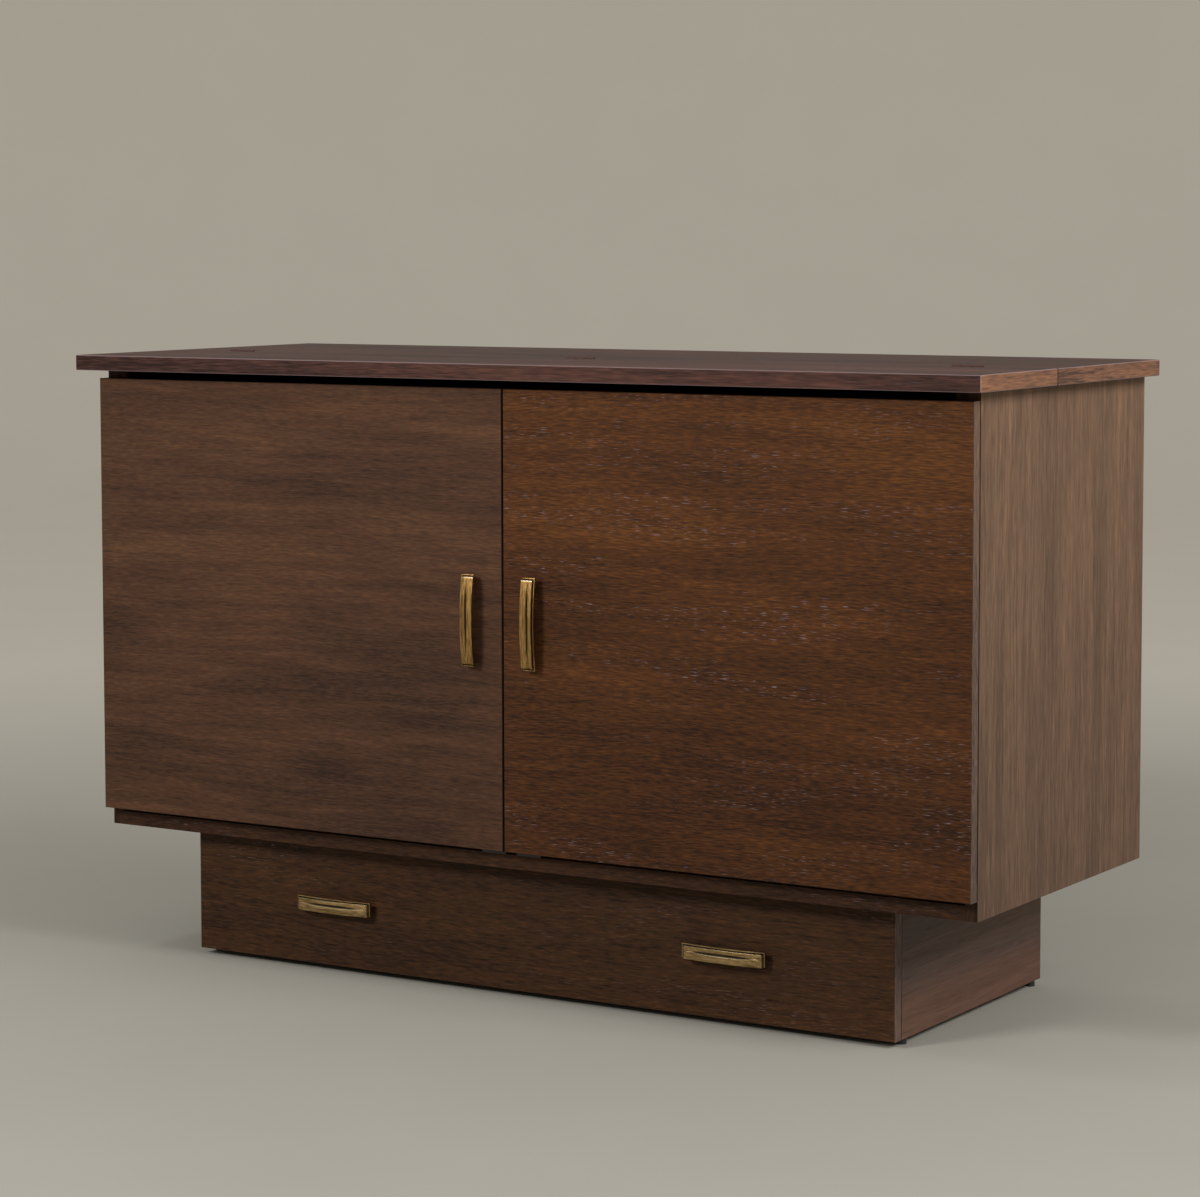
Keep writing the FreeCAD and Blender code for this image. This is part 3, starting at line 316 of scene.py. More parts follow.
def veneer(name, run, ends, wood_tones, seed, marks=0.5, gloss=0.5, lustre=0.12, long=1.0,
           crisp=1.0, figure=1.0, painted_falloff=0.0, edge_wear_and_painted_light=0.05, painted_arris_tone=paint(156, 136, 140),
           edge_tones=None, edge_face=None, seam=None, painted_lit_band=None):
    """Stained open-pored veneer whose grain runs along one axis, and along another on its ends."""
    finish = Finish(name)
    third = next(axis for axis in "XYZ" if axis not in run + ends)
    place = finish.place()
    facing = finish.facing()
    on_end = facing[run] > squarely
    span = place[ends] - place[run]
    along = (place[run] + on_end * span + seed) * (1 / long)
    straight = place[ends] - on_end * span
    deep = place[third]
    sway = finish.noise(along * 1.6, straight * 5, deep * 5)
    across = straight + sway * 0.03

    def grain(along_rate, across_rate, shift=0, detail=2.0):
        """Noise drawn out along the grain, with so many spots to a metre along and across it."""
        start = along * along_rate
        if shift:
            start = start + shift
        return finish.noise(start, across * across_rate, deep * across_rate, detail=detail)

    cloud = grain(2.1, 8)
    band = grain(3.2, 42)
    streak = grain(10, 130)
    dash = grain(55, 420, detail=1.0)
    shares = (0.24 * figure, 0.2 * figure, 0.22, 0.5 * crisp)
    tone = (cloud * shares[0] + band * shares[1] + streak * shares[2] + dash * shares[3]
            + (0.5 - sum(shares) / 2))
    # Painted shade: the tone pales upwards and darkens towards the floor, as the light falls off.
    if painted_falloff:
        tone = tone + (place["Z"] - case_middle) * painted_falloff

    def stained(chosen_tones):
        """The figure in the given tones."""
        stops = list(zip(tone_levels, chosen_tones))
        return finish.node("ValToRGB", {"stops": stops}, {"Fac": tone})

    wood = stained(wood_tones)
    if edge_tones:
        wood = finish.mixed(facing[edge_face or run] > squarely, wood, stained(edge_tones))
    # Painted light: a warm lit band low on the piece, below the shadow line of the case above it.
    if painted_lit_band:
        height = place["Z"] + (sway - 0.5) * 0.05
        wood = finish.mixed((1 - finish.rise(height, *painted_lit_band)) * 0.36, wood, painted_light_brown)

    dark_line = finish.rise(grain(2.6, 75, shift=5), 0.6, 0.76)
    dark_pore = finish.rise(grain(34, 520, detail=0.0), 0.6, 0.72)
    dark = finish.maths("MAXIMUM", dark_line * 0.35, dark_pore * (0.6 * crisp))
    wood = finish.mixed(dark, wood, finish.mixed(0.5, wood, pore_brown))
    cluster = finish.rise(grain(3, 26, shift=7), 0.5, 0.66)
    pale_pore = finish.rise(grain(60, 860, shift=3, detail=0.0), 0.7, 0.78)
    wood = finish.mixed(pale_pore * cluster * marks, wood, pore_filler)

    flat = finish.maths("MAXIMUM", facing["X"], facing["Y"])
    flat = finish.maths("MAXIMUM", flat, facing["Z"])
    arris = 1 - finish.rise(flat, 0.8, 0.95)
    # Painted shade: a dark line along the seam where the leaves meet, with no arris highlight on
    # it.
    if seam is not None:
        off_seam = finish.maths("ABSOLUTE", place["Y"] - seam)
        open_board = finish.rise(off_seam, 1 * MM, 2.5 * MM)
        arris = arris * open_board
        wood = finish.mixed((1 - open_board) * 0.8, wood, painted_seam_shade)
    # Painted light on the arrises: a pale arris tone is a painted highlight, a dark one painted
    # shade.
    wood = finish.mixed(arris * edge_wear_and_painted_light, wood, painted_arris_tone)
    finish.set(Base_Color=wood, Roughness=gloss + dash * 0.14 - arris * 0.1,
               Specular_IOR_Level=lustre)
    finish.bump(dash * 0.6 + streak * 0.4 - dark_pore * 0.8, 0.35, 0.25 * MM)
    return finish


side_tones = tones((90, 72, 60), (105, 83, 68), (120, 95, 78), (150, 114, 87))
case_tones = tones((40, 25, 16), (56, 36, 23), (66, 42, 26), (86, 55, 33))
back_tones = tones((60, 41, 30), (80, 56, 41), (93, 66, 48), (116, 82, 58))

# Painted shade: the sides are painted darker towards the floor.
for side, seed in (("right", 3.1), ("left", 8.7)):
    dress(veneer(f"{side}_side_veneer", "Z", "Y", side_tones, seed, marks=0.1, long=1.8,
                 crisp=0.75, figure=1.15, painted_falloff=0.12, edge_tones=case_tones, edge_face="Y"),
          f"{side}_side_panel")
dress(veneer("bottom_veneer", "X", "Y", case_tones, 5.3, marks=0.2), "bottom_panel",
      "front_bottom_rail")
dress(veneer("back_veneer", "X", "Z", back_tones, 12.9, marks=0.1, gloss=0.55), "back_panel")
dress(veneer("stained_rail", "X", "Y", case_tones, 14.2, marks=0.1, gloss=0.6),
      "rear_top_stretcher")
dress(veneer("stained_cleat", "Y", "Z", case_tones, 16.4, marks=0.1, gloss=0.6),
      "right_top_cleat", "left_top_cleat")


# ---------------------------------------------------------------- the folding top

# One thick slab split lengthwise: the rear leaf is fixed, and the front leaf folds back on it.
# The veneer is darker and redder than the case's, and the banding of its ends is orange-brown.

slab_tones = tones((46, 28, 26), (66, 43, 39), (79, 52, 45), (98, 65, 54))
slab_end_tones = tones((80, 61, 51), (118, 85, 69), (135, 97, 76), (164, 113, 78))
# Painted shade: a dark line is painted where the two leaves meet.
slab_seam = (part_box("front_top_leaf")[1].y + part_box("rear_top_leaf")[0].y) / 2
# Painted highlight: the leaves' arrises are painted in a pale tone.
for leaf, seed in (("front", 1.7), ("rear", 6.1)):
    dress(veneer(f"{leaf}_leaf_veneer", "X", "Y", slab_tones, seed, marks=0.1, gloss=0.44,
                 lustre=0.13, long=1.7, figure=1.8, edge_wear_and_painted_light=0.5, edge_tones=slab_end_tones,
                 seam=slab_seam), f"{leaf}_top_leaf")


# ---------------------------------------------------------------- the doors

# Two flush slab doors cover the case front. Their veneer is laid sideways, in soft orange and
# umber bands, and its open pores hold some pale filler, most of it on the right door.

right_door_tones = tones((50, 29, 17), (71, 42, 22), (84, 50, 25), (108, 66, 32))
left_door_tones = tones((52, 36, 28), (71, 48, 36), (84, 58, 42), (106, 72, 50))
door_edge_tones = tones((70, 58, 51), (92, 76, 66), (106, 87, 76), (132, 104, 84))
# Painted shade: the doors' arrises are painted dark, where shade falls along their edges and the
# seam.
painted_arris_shade = paint(34, 20, 16)
# Painted shade: both doors are painted darker towards the floor.
dress(veneer("right_door_veneer", "X", "Z", right_door_tones, 2.3, marks=0.6, painted_falloff=0.2,
             edge_tones=door_edge_tones, painted_arris_tone=painted_arris_shade, edge_wear_and_painted_light=0.5), "right_door_panel")
dress(veneer("left_door_veneer", "X", "Z", left_door_tones, 9.9, marks=0.1, crisp=0.65,
             figure=1.2, painted_falloff=0.08, edge_tones=case_tones, painted_arris_tone=painted_arris_shade, edge_wear_and_painted_light=0.5),
      "left_door_panel")


# ---------------------------------------------------------------- the base

# A plinth box set back under the case, in the same veneer, with a warm band of painted light low on
# its sides, where light falls below the shadow of the case. The drawer front closes it over its
# whole width, and black plastic glides lift it off the floor.

base_tones = tones((72, 61, 58), (94, 79, 73), (108, 89, 81), (130, 101, 84))
front_tones = tones((42, 27, 17), (58, 38, 24), (68, 44, 27), (86, 56, 34))
painted_lit_band_heights = (0.05, 0.11)
dress(veneer("base_side_veneer", "Y", "Z", base_tones, 4.4, marks=0.05, long=2.0, crisp=0.45,
             painted_lit_band=painted_lit_band_heights), "base_right_side", "base_left_side")
dress(veneer("base_back_veneer", "X", "Z", back_tones, 10.8, marks=0.1, gloss=0.55), "base_back")
dress(veneer("drawer_front_veneer", "X", "Z", front_tones, 7.7, marks=0.25,
             edge_tones=base_tones), "drawer_front")
dress(veneer("base_rail_veneer", "X", "Y", front_tones, 15.5, marks=0.1), "base_front_rail")


def moulded(name, colour, gloss, pebble, depth):
    """Moulded plastic or rubber with a fine pebbled skin."""
    finish = Finish(name)
    x, y, z = (distance * pebble for distance in finish.place().values())
    grain = finish.noise(x, y, z, detail=3.0)
    scuff = finish.noise(x * 0.06, y * 0.06, z * 0.06, detail=4.0)
    lighter = tuple(level * 1.5 + 0.01 for level in colour[:3]) + (1,)
    finish.set(Base_Color=finish.mixed(scuff, colour, lighter), Roughness=gloss + scuff * 0.15)
    finish.bump(grain, 0.4, depth)
    return finish


dress(moulded("glide_plastic", paint(28, 28, 29), 0.45, 900, 0.1 * MM), "base_glides")


# ---------------------------------------------------------------- the bow pulls

# Cast bow handles in antique brass: a grooved front bar stands in a shallow tray with a rim on
# three sides. The dark patina is rubbed off the edges and stays in the groove and the slot, and a
# painted highlight lies on the upward-tilted lip of the groove.

bow_rise = 5.5 * MM
bar_half_wide = 10 * MM
tip_radius, outline_radius, lip_radius, edge_radius = 2 * MM, 0.8 * MM, 0.6 * MM, 0.3 * MM
lip_depth = 1 * MM
short_ray, ray_start = 7 * MM, 0.2 * MM
ray_tilts, rays_round = (0.6, 1.15), 10
merge_distance, longest_edge = 0.005 * MM, 6 * MM
crease, sharp = math.radians(32), math.radians(35)
wear_and_highlight_below = 0.45
brush_stretch = 0.06
patina_brown, rubbed_and_highlight_brass = paint(16, 13, 11), paint(242, 228, 196)

door_pull_low, door_pull_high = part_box("right_door_pull")
drawer_pull_low, drawer_pull_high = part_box("drawer_pulls")
pull_long = door_pull_high.z - door_pull_low.z
bow_radius = pull_long ** 2 / (8 * bow_rise) + bow_rise / 2
door_pull_x = door_pull_low.x + bar_half_wide
door_pull_z = door_pull_low.z + pull_long / 2
drawer_pull_x = drawer_pull_high.x - pull_long / 2
drawer_pull_z = drawer_pull_low.z + bar_half_wide


def place_piece(name, shape, body, finish, replaced=()):
    """Make a finished shape a piece that rides on a body, with its faces smooth up to a crease."""
    mesh = mesh_from(name, shape)
    mesh.materials.append(finish.material)
    mesh.shade_smooth()
    mesh.set_sharp_from_angle(angle=crease)
    piece = link(name, mesh)
    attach(piece, body)
    if replaced:
        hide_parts(*replaced)


def antique_brass(name, run, low, high):
    """Brass brushed along one axis, brown in its recesses, rubbed bright on its edges, and painted
    with a highlight on its upward-tilted lips.
    """
    finish = Finish(name)
    x, y, z = (distance * (brush_stretch if axis == run else 1)
               for axis, distance in finish.place().items())
    cloud = finish.noise(x * 150, y * 150, z * 150, detail=4.0, rough=0.6)
    brushed = finish.noise(x * 620, y * 620, z * 620, detail=3.0)
    brass = finish.mixed(finish.rise(cloud * 0.4 + brushed * 0.6, 0.36, 0.64), low, high)
    hidden = finish.node("Attribute", {"attribute_name": "patina"}, out="Fac")
    patina = finish.rise(hidden, 0.3, 0.52)
    wear = finish.node("Attribute", {"attribute_name": "wear"}, out="Fac")
    wear = wear * (1 - finish.rise(hidden, 0.2, 0.42))
    brass = finish.mixed(patina * 0.96, brass, patina_brown)
    # The rubbed brass colour serves both the rubbed edges and the painted highlight on the lips.
    brass = finish.mixed(wear * 0.8, brass, rubbed_and_highlight_brass)
    finish.set(Base_Color=brass, Metallic=1 - patina * 0.6 - wear * 0.4,
               Roughness=0.3 + cloud * 0.12 + brushed * 0.06 + patina * 0.3 - wear * 0.06)
    finish.bump(brushed + cloud, 0.08, 0.1 * MM)
    return finish


def patina_share(tree, spot, normal):
    """The share of short rays from a spot that meet the casting itself."""
    side = normal.orthogonal().normalized()
    rays = [normal]
    for tilt in ray_tilts:
        ray = side * math.sin(tilt) + normal * math.cos(tilt)
        rays += [Matrix.Rotation(step * math.tau / rays_round, 3, normal) @ ray
                 for step in range(rays_round)]
    start = spot + normal * ray_start
    hits = sum(tree.ray_cast(start, ray, short_ray)[0] is not None for ray in rays)
    return hits / len(rays)


def sharp_edges(shape):
    """The edges of a shape that are neither open nor nearly flat."""
    return [edge for edge in shape.edges
            if edge.is_manifold and edge.calc_face_angle() > sharp]


def round_off(shape, edges, radius, segments):
    """Round some edges, and give back the faces of the rounding."""
    rounded = bmesh.ops.bevel(shape, geom=edges, offset=radius, offset_type="OFFSET",
                              affect="EDGES", segments=segments, profile=0.5, material=-1,
                              clamp_overlap=True)
    return rounded["faces"]


def cast_pull(node, body, finish, along, centre):
    """A merged copy of a packed pull with rounded edges, its patina, rubbed edges and a painted
    highlight painted on.
    """
    shape = bmesh.new()
    shape.from_mesh(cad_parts[node].data)
    bmesh.ops.remove_doubles(shape, verts=shape.verts, dist=merge_distance)
    bmesh.ops.dissolve_limit(shape, angle_limit=math.radians(1), verts=shape.verts,
                             edges=shape.edges)
    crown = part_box(node)[0].y

    def front_face(vert):
        """How far back the front bar's bowed face is at a point's place along the pull."""
        return crown + (abs(vert.co[along]) - centre) ** 2 / (2 * bow_radius)

    def front_edges():
        """The sharp edges of the front bar's bowed face."""
        return [edge for edge in sharp_edges(shape)
                if all(vert.co.y < front_face(vert) + 0.3 * MM for vert in edge.verts)]

    def outlines(edge):
        """True where the bar's side or end falls away steeply, and not at the lip of its groove."""
        return min(abs(face.normal.y) for face in edge.link_faces) < 0.2

    def crosses(edge):
        """True on the short edges at the ends of the bar."""
        return abs(edge.verts[0].co[along] - edge.verts[1].co[along]) < 0.1 * MM

    rounding = []
    for chosen, radius, segments in (
            (lambda edge: outlines(edge) and crosses(edge), tip_radius, 5),
            (lambda edge: outlines(edge), outline_radius, 3),
            (lambda edge: not crosses(edge), lip_radius, 3)):
        edges = [edge for edge in front_edges() if chosen(edge)]
        rounding += round_off(shape, edges, radius, segments)
    rounding += round_off(shape, sharp_edges(shape), edge_radius, 2)
    edge_wear_and_painted_light = {vert for face in rounding if face.is_valid for vert in face.verts}
    bmesh.ops.triangulate(shape, faces=shape.faces)
    long_edges = [edge for edge in shape.edges if edge.calc_length() > longest_edge]
    bmesh.ops.subdivide_edges(shape, edges=long_edges, cuts=3, use_grid_fill=False)
    bmesh.ops.triangulate(shape, faces=shape.faces)
    bmesh.ops.recalc_face_normals(shape, faces=shape.faces)
    shape.normal_update()
    patina = shape.verts.layers.float.new("patina")
    wear = shape.verts.layers.float.new("wear")
    tree = BVHTree.FromBMesh(shape)
    for vert in shape.verts:
        vert[patina] = patina_share(tree, vert.co, vert.normal)
        # Painted highlight: faces tilted up at the lip of the groove are painted bright; the other
        # rounded edges are rubbed bright.
        tilted_up = vert.normal.z > 0.3 and vert.normal.y < -0.3
        on_lip = vert.co.y < front_face(vert) + lip_depth
        if vert[patina] < wear_and_highlight_below:
            vert[wear] = 1.0 if tilted_up and on_lip else 0.5 * (vert in edge_wear_and_painted_light)
    place_piece(f"{node}_casting", shape, body, finish, replaced=[node])


upright_brass = antique_brass("door_pull_brass", "Z", paint(114, 86, 48), paint(176, 141, 88))
level_brass = antique_brass("drawer_pull_brass", "X", paint(122, 98, 62), paint(184, 156, 110))
cast_pull("right_door_pull", "right_door", upright_brass, 2, door_pull_z)
cast_pull("left_door_pull", "left_door", upright_brass, 2, door_pull_z)
cast_pull("drawer_pulls", "drawer", level_brass, 0, drawer_pull_x)


# ---------------------------------------------------------------- the pull screws

# Each pull is held by two machine screws whose pan heads show inside the door or the drawer.
# Each head has a crossed recess, and the recesses of a group stand at different angles.

screw_rim = 0.3 * MM
recess_half_wide = 0.13
recess_turn = 2.4
backwards, upwards = (0, 1, 0), (0, 0, 1)


def screw_head(shape, spot, towards, radius, dome, twist):
    """One crossed-recess head, drawn with a radius of 1 and seated at a spot in a direction."""
    head = bmesh.new()
    bmesh.ops.create_grid(head, x_segments=5, y_segments=5, size=1)
    for vert in head.verts:
        if max(abs(vert.co.x), abs(vert.co.y)) > 0.9:
            vert.co = vert.co.normalized()
            continue
        for axis in (0, 1):
            if abs(vert.co[axis]) < 0.3:
                vert.co[axis] = math.copysign(recess_half_wide, vert.co[axis])
    middles = {face: face.calc_center_median() for face in head.faces}
    cross = [face for face, middle in middles.items()
             if min(abs(middle.x), abs(middle.y)) < 0.1 and middle.length < 0.6]
    for vert in head.verts:
        vert.co.z = dome / radius * (1 - vert.co.to_2d().length_squared)
    bmesh.ops.inset_region(head, faces=cross, thickness=0.04, depth=-0.3, use_even_offset=True)
    border = [edge for edge in head.edges if edge.is_boundary]
    skirt = bmesh.ops.extrude_edge_only(head, edges=border)["geom"]
    skirt_verts = [item for item in skirt if isinstance(item, bmesh.types.BMVert)]
    bmesh.ops.translate(head, verts=skirt_verts, vec=(0, 0, -screw_rim / radius))
    turn = Vector(towards).to_track_quat("Z", "Y").to_matrix().to_4x4()
    seat = Vector(spot) + Vector(towards).normalized() * screw_rim
    bmesh.ops.transform(head, verts=head.verts,
                        matrix=(Matrix.Translation(seat) @ turn @ Matrix.Rotation(twist, 4, "Z")
                                @ Matrix.Scale(radius, 4)))
    bmesh.ops.recalc_face_normals(head, faces=head.faces)
    made = mesh_from("screw", head)
    shape.from_mesh(made)
    bpy.data.meshes.remove(made)


def plated_steel(name, bright, dull):
    """Zinc-plated sheet steel with a faint cloudy plating and fine rubbing marks."""
    finish = Finish(name)
    x, y, z = finish.place().values()
    cloud = finish.noise(x * 60, y * 60, z * 60, detail=3.0)
    rub = finish.noise(x * 160, y * 160, z * 1440, detail=2.0)
    finish.set(Base_Color=finish.mixed(cloud, dull, bright), Metallic=1.0,
               Roughness=0.24 + cloud * 0.16 + rub * 0.1)
    finish.bump(rub, 0.06, 0.1 * MM)
    return finish


zinc = plated_steel("zinc_plate", paint(206, 208, 210), paint(160, 163, 168))


def screws(name, spots, towards, radius, body, dome=0.5 * MM, finish=zinc):
    """Like screws on one body, made as one piece."""
    shape = bmesh.new()
    for number, spot in enumerate(spots):
        screw_head(shape, spot, towards, radius, dome, number * recess_turn)
    place_piece(name, shape, body, finish)


pull_screw_reach = 64 * MM
pull_screw_radius, pull_screw_dome = 4 * MM, 1.2 * MM
door_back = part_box("right_door_panel")[1].y
subfront_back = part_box("drawer_subfront")[1].y
for side, turn in (("right", 1), ("left", -1)):
    screws(f"{side}_door_pull_screws",
           [(turn * door_pull_x, door_back, door_pull_z + rise)
            for rise in (-pull_screw_reach, pull_screw_reach)],
           backwards, pull_screw_radius, f"{side}_door", dome=pull_screw_dome)
screws("drawer_pull_screws",
       [(side * drawer_pull_x + shift, subfront_back, drawer_pull_z)
        for side in (-1, 1) for shift in (-pull_screw_reach, pull_screw_reach)],
       backwards, pull_screw_radius, "drawer", dome=pull_screw_dome)


# ---------------------------------------------------------------- the concealed door hinges

# Pressed cups in the door backs, gooseneck arms and mounting plates on the sides, all zinc
# plated steel. Each cup and plate is held by two screws, and each arm has two to adjust it.

wing_half = 30 * MM
wing_screw_reach = 24 * MM
plate_screw_reach = 15 * MM
arm_screw_shifts = (-9 * MM, 7 * MM)
cup_screw_radius, plate_screw_radius, arm_screw_radius = 3.6 * MM, 3.8 * MM, 3 * MM

for side, turn in (("right", 1), ("left", -1)):
    dress(zinc, f"{side}_hinge_cups", f"{side}_hinge_arms", f"{side}_hinge_plates")
    inwards = (-turn, 0, 0)
    cup_low, cup_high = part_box(f"{side}_hinge_cups")
    plate_low, plate_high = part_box(f"{side}_hinge_plates")
    arm_low, arm_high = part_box(f"{side}_hinge_arms")
    cup_x = (cup_low.x + cup_high.x) / 2
    plate_y = (plate_low.y + plate_high.y) / 2
    plate_face = plate_low.x if turn > 0 else plate_high.x
    arm_face = arm_low.x if turn > 0 else arm_high.x
    hinge_levels = (cup_low.z + wing_half, cup_high.z - wing_half)
    screws(f"{side}_cup_screws",
           [(cup_x, cup_high.y, level + rise)
            for level in hinge_levels for rise in (-wing_screw_reach, wing_screw_reach)],
           backwards, cup_screw_radius, f"{side}_door", dome=0.6 * MM)
    screws(f"{side}_plate_screws",
           [(plate_face, plate_y, level + rise)
            for level in hinge_levels for rise in (-plate_screw_reach, plate_screw_reach)],
           inwards, plate_screw_radius, "cabinet")
    screws(f"{side}_arm_screws",
           [(arm_face, plate_y + shift, level)
            for level in hinge_levels for shift in arm_screw_shifts],
           inwards, arm_screw_radius, "cabinet", dome=0.3 * MM)


# ---------------------------------------------------------------- the door catches

# Magnetic catches in black housings stand on the bottom board behind the meeting edges, each
# held by two screws, and a plated strike on each door meets them.

catch_screw_places = (-47 * MM, -17 * MM, 17 * MM, 47 * MM)
catch_screw_radius = 3 * MM
dress(moulded("catch_plastic", paint(30, 30, 32), 0.4, 900, 0.08 * MM), "door_catches")
dress(zinc, "right_strike_plate", "left_strike_plate")
catch_low, catch_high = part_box("door_catches")
catch_y = (catch_low.y + catch_high.y) / 2
screws("catch_screws", [(x, catch_y, catch_high.z) for x in catch_screw_places],
       upwards, catch_screw_radius, "cabinet")
for side in ("right", "left"):
    strike_low, strike_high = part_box(f"{side}_strike_plate")
    middle = (strike_low + strike_high) / 2
    screws(f"{side}_strike_screw", [(middle.x, strike_high.y, middle.z)], backwards,
           catch_screw_radius, f"{side}_door", dome=0.1 * MM)


# ---------------------------------------------------------------- the hinges of the top

# Flush flap hinges let into the slab on both sides of the seam, three screws to a leaf. Their
# brass is oil-rubbed to the brown of the stain and lacquered over, so that the top hides it.

leaf_half = 25 * MM
leaf_screw_places = ((-17 * MM, 8 * MM), (0, 14 * MM), (17 * MM, 8 * MM))
leaf_screw_radius = 3.2 * MM


def rubbed_leaf(name):
    """Brass gone as brown as the slab's stain, with the slab's cloudiness."""
    finish = Finish(name)
    x, y, z = finish.place().values()
    cloud = finish.noise(x * 120, y * 420, z * 420, detail=4.0)
    colour = finish.mixed(cloud, paint(66, 44, 40), paint(88, 60, 53))
    finish.set(Base_Color=colour, Roughness=0.44 + cloud * 0.12, Specular_IOR_Level=0.2)
    finish.bump(cloud, 0.35, 0.25 * MM)
    return finish


leaf_brass = rubbed_leaf("oil_rubbed_leaf")
dress(leaf_brass, "top_hinge_rear_leaves", "top_hinge_front_leaves")
top_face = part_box("rear_top_leaf")[1].z
rear_leaf_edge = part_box("top_hinge_rear_leaves")[1].y
front_leaf_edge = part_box("top_hinge_front_leaves")[0].y
hinge_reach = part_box("top_hinge_rear_leaves")[1].x - leaf_half
for name, edge, inward, body in (("rear_leaf_screws", rear_leaf_edge, -1, "cabinet"),
                                 ("front_leaf_screws", front_leaf_edge, 1, "top_leaf")):
    screws(name,
           [(x + shift, edge + inward * row, top_face)
            for x in (-hinge_reach, 0, hinge_reach) for shift, row in leaf_screw_places],
           upwards, leaf_screw_radius, body, dome=0.3 * MM, finish=leaf_brass)


# ---------------------------------------------------------------- the drawer box

# A birch plywood box behind the drawer front, clear lacquered, with the plies showing along
# the board edges. It runs on three-part plated steel runners.

birch_tones = tones((196, 158, 112), (214, 182, 138), (226, 200, 160))
birch_levels = (0.3, 0.5, 0.7)
ply_dark, ply_pale = paint(150, 108, 68), paint(212, 178, 132)
plies = 5
drawer_board, drawer_floor_board = 15 * MM, 9 * MM


def plywood(name, run, thick, seed, board):
    """Rotary-cut birch plywood: pale faces, and striped plies on every edge of the board."""
    finish = Finish(name)
    place = finish.place()
    facing = finish.facing()
    cross = next(axis for axis in "XYZ" if axis not in run + thick)
    along = place[run] + seed
    across = place[cross]
    deep = place[thick]
    sway = finish.noise(along * 2, across * 3, deep)
    rings = finish.noise(along * 1.3, across * 16 + sway * 1.5, deep * 3, detail=3.0, rough=0.6)
    fibre = finish.noise(along * 30, across * 500, deep * 500, detail=1.0)
    stops = list(zip(birch_levels, birch_tones))
    face = finish.node("ValToRGB", {"stops": stops}, {"Fac": rings * 0.75 + fibre * 0.25})
    stripes = finish.maths("SINE", deep * (math.tau / (board / plies)))
    ply = finish.mixed(finish.rise(stripes, -0.3, 0.3), ply_dark, ply_pale)
    on_edge = 1 - (facing[thick] > squarely)
    finish.set(Base_Color=finish.mixed(on_edge, face, ply), Roughness=0.42 + fibre * 0.15)
    finish.bump(fibre, 0.2, 0.15 * MM)
    return finish


dress(plywood("drawer_side_ply", "Y", "X", 1.1, drawer_board), "drawer_right_side",
      "drawer_left_side")
dress(plywood("drawer_cross_ply", "X", "Y", 2.2, drawer_board), "drawer_subfront", "drawer_back")
dress(plywood("drawer_bottom_ply", "X", "Z", 3.3, drawer_floor_board), "drawer_bottom")
runner_steel = plated_steel("runner_zinc", paint(198, 201, 205), paint(168, 172, 178))
dress(runner_steel, "drawer_runner_outer_members", "drawer_runner_middle_members",
      "drawer_runner_inner_members")


# ---------------------------------------------------------------- the folding platform

# The fixed deck and the two folded panels are birch plywood. Butt hinges join them, and three
# square legs with rubber feet turn in steel brackets screwed to the outer panel.

platform_board, leg_thick = 18 * MM, 44 * MM
dress(plywood("deck_ply", "X", "Z", 4.4, platform_board), "fixed_deck")
dress(plywood("inner_panel_ply", "X", "Y", 5.5, platform_board), "platform_inner_panel")
dress(plywood("outer_panel_ply", "X", "Y", 6.6, platform_board), "platform_outer_panel")
dress(plywood("leg_birch", "Z", "Y", 7.7, leg_thick), "platform_legs")
dress(moulded("foot_rubber", paint(24, 24, 24), 0.7, 700, 0.15 * MM), "platform_leg_feet")
dress(zinc, "deck_hinges", "platform_fold_hinges", "platform_leg_brackets")

hinge_sheet = 1.6 * MM
butt_half = 30 * MM
butt_shifts = (-20 * MM, 0, 20 * MM)
deck_screw_row, fold_screw_row = 9 * MM, 5 * MM
deck_screw_radius, fold_screw_radius, bracket_screw_radius = 3 * MM, 2.6 * MM, 3 * MM
butt_dome = 0.4 * MM
deck_hinge_low, deck_hinge_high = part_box("deck_hinges")
fold_low, fold_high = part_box("platform_fold_hinges")
panel_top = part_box("platform_inner_panel")[1].z
outer_hinge = deck_hinge_high.x - butt_half
hinge_places = [outer_hinge * step / 3 for step in (-3, -1, 1, 3)]
screws("deck_hinge_screws",
       [(x + shift, deck_hinge_high.y - deck_screw_row, deck_hinge_low.z + hinge_sheet)
        for x in hinge_places for shift in butt_shifts],
       upwards, deck_screw_radius, "cabinet", dome=butt_dome)
screws("fold_hinge_screws",
       [(x + shift, y, panel_top + hinge_sheet)
        for x in hinge_places for shift in butt_shifts
        for y in (fold_low.y + fold_screw_row, fold_high.y - fold_screw_row)],
       upwards, fold_screw_radius, "cabinet", dome=butt_dome)

bracket_half = 34.5 * MM
bracket_sheet = 3 * MM
bracket_screw_reach, bracket_screw_rise = bracket_half - 10 * MM, 13 * MM
bracket_low, bracket_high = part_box("platform_leg_brackets")
bracket_z = (bracket_low.z + bracket_high.z) / 2
leg_reach = bracket_high.x - bracket_half
screws("bracket_screws",
       [(leg + side * bracket_screw_reach, bracket_low.y + bracket_sheet, bracket_z + rise)
        for leg in (-leg_reach, 0, leg_reach) for side in (-1, 1)
        for rise in (-bracket_screw_rise, bracket_screw_rise)],
       backwards, bracket_screw_radius, "cabinet")


# ---------------------------------------------------------------- the folded mattress

# A three-part foam mattress stands folded behind the platform. Each part is a foam block in a
# quilted cotton cover with sewn channels and a corded seam round both faces.

swell = 6 * MM
cover_gap = 1.5 * MM
block_radius = 16 * MM
cloth_grid = 13 * MM
cloth_frames, cloth_pressure = 20, 4
channel_depth = 5 * MM
channel_half = 9 * MM
channels_across, channels_up = 8, 4
flat_enough = 0.75
cord_radius = 3 * MM
cord_corner, cord_inset = 22 * MM, 5 * MM
cord_step, cord_corner_steps = 40 * MM, 6
thread_gap = 1.3 * MM


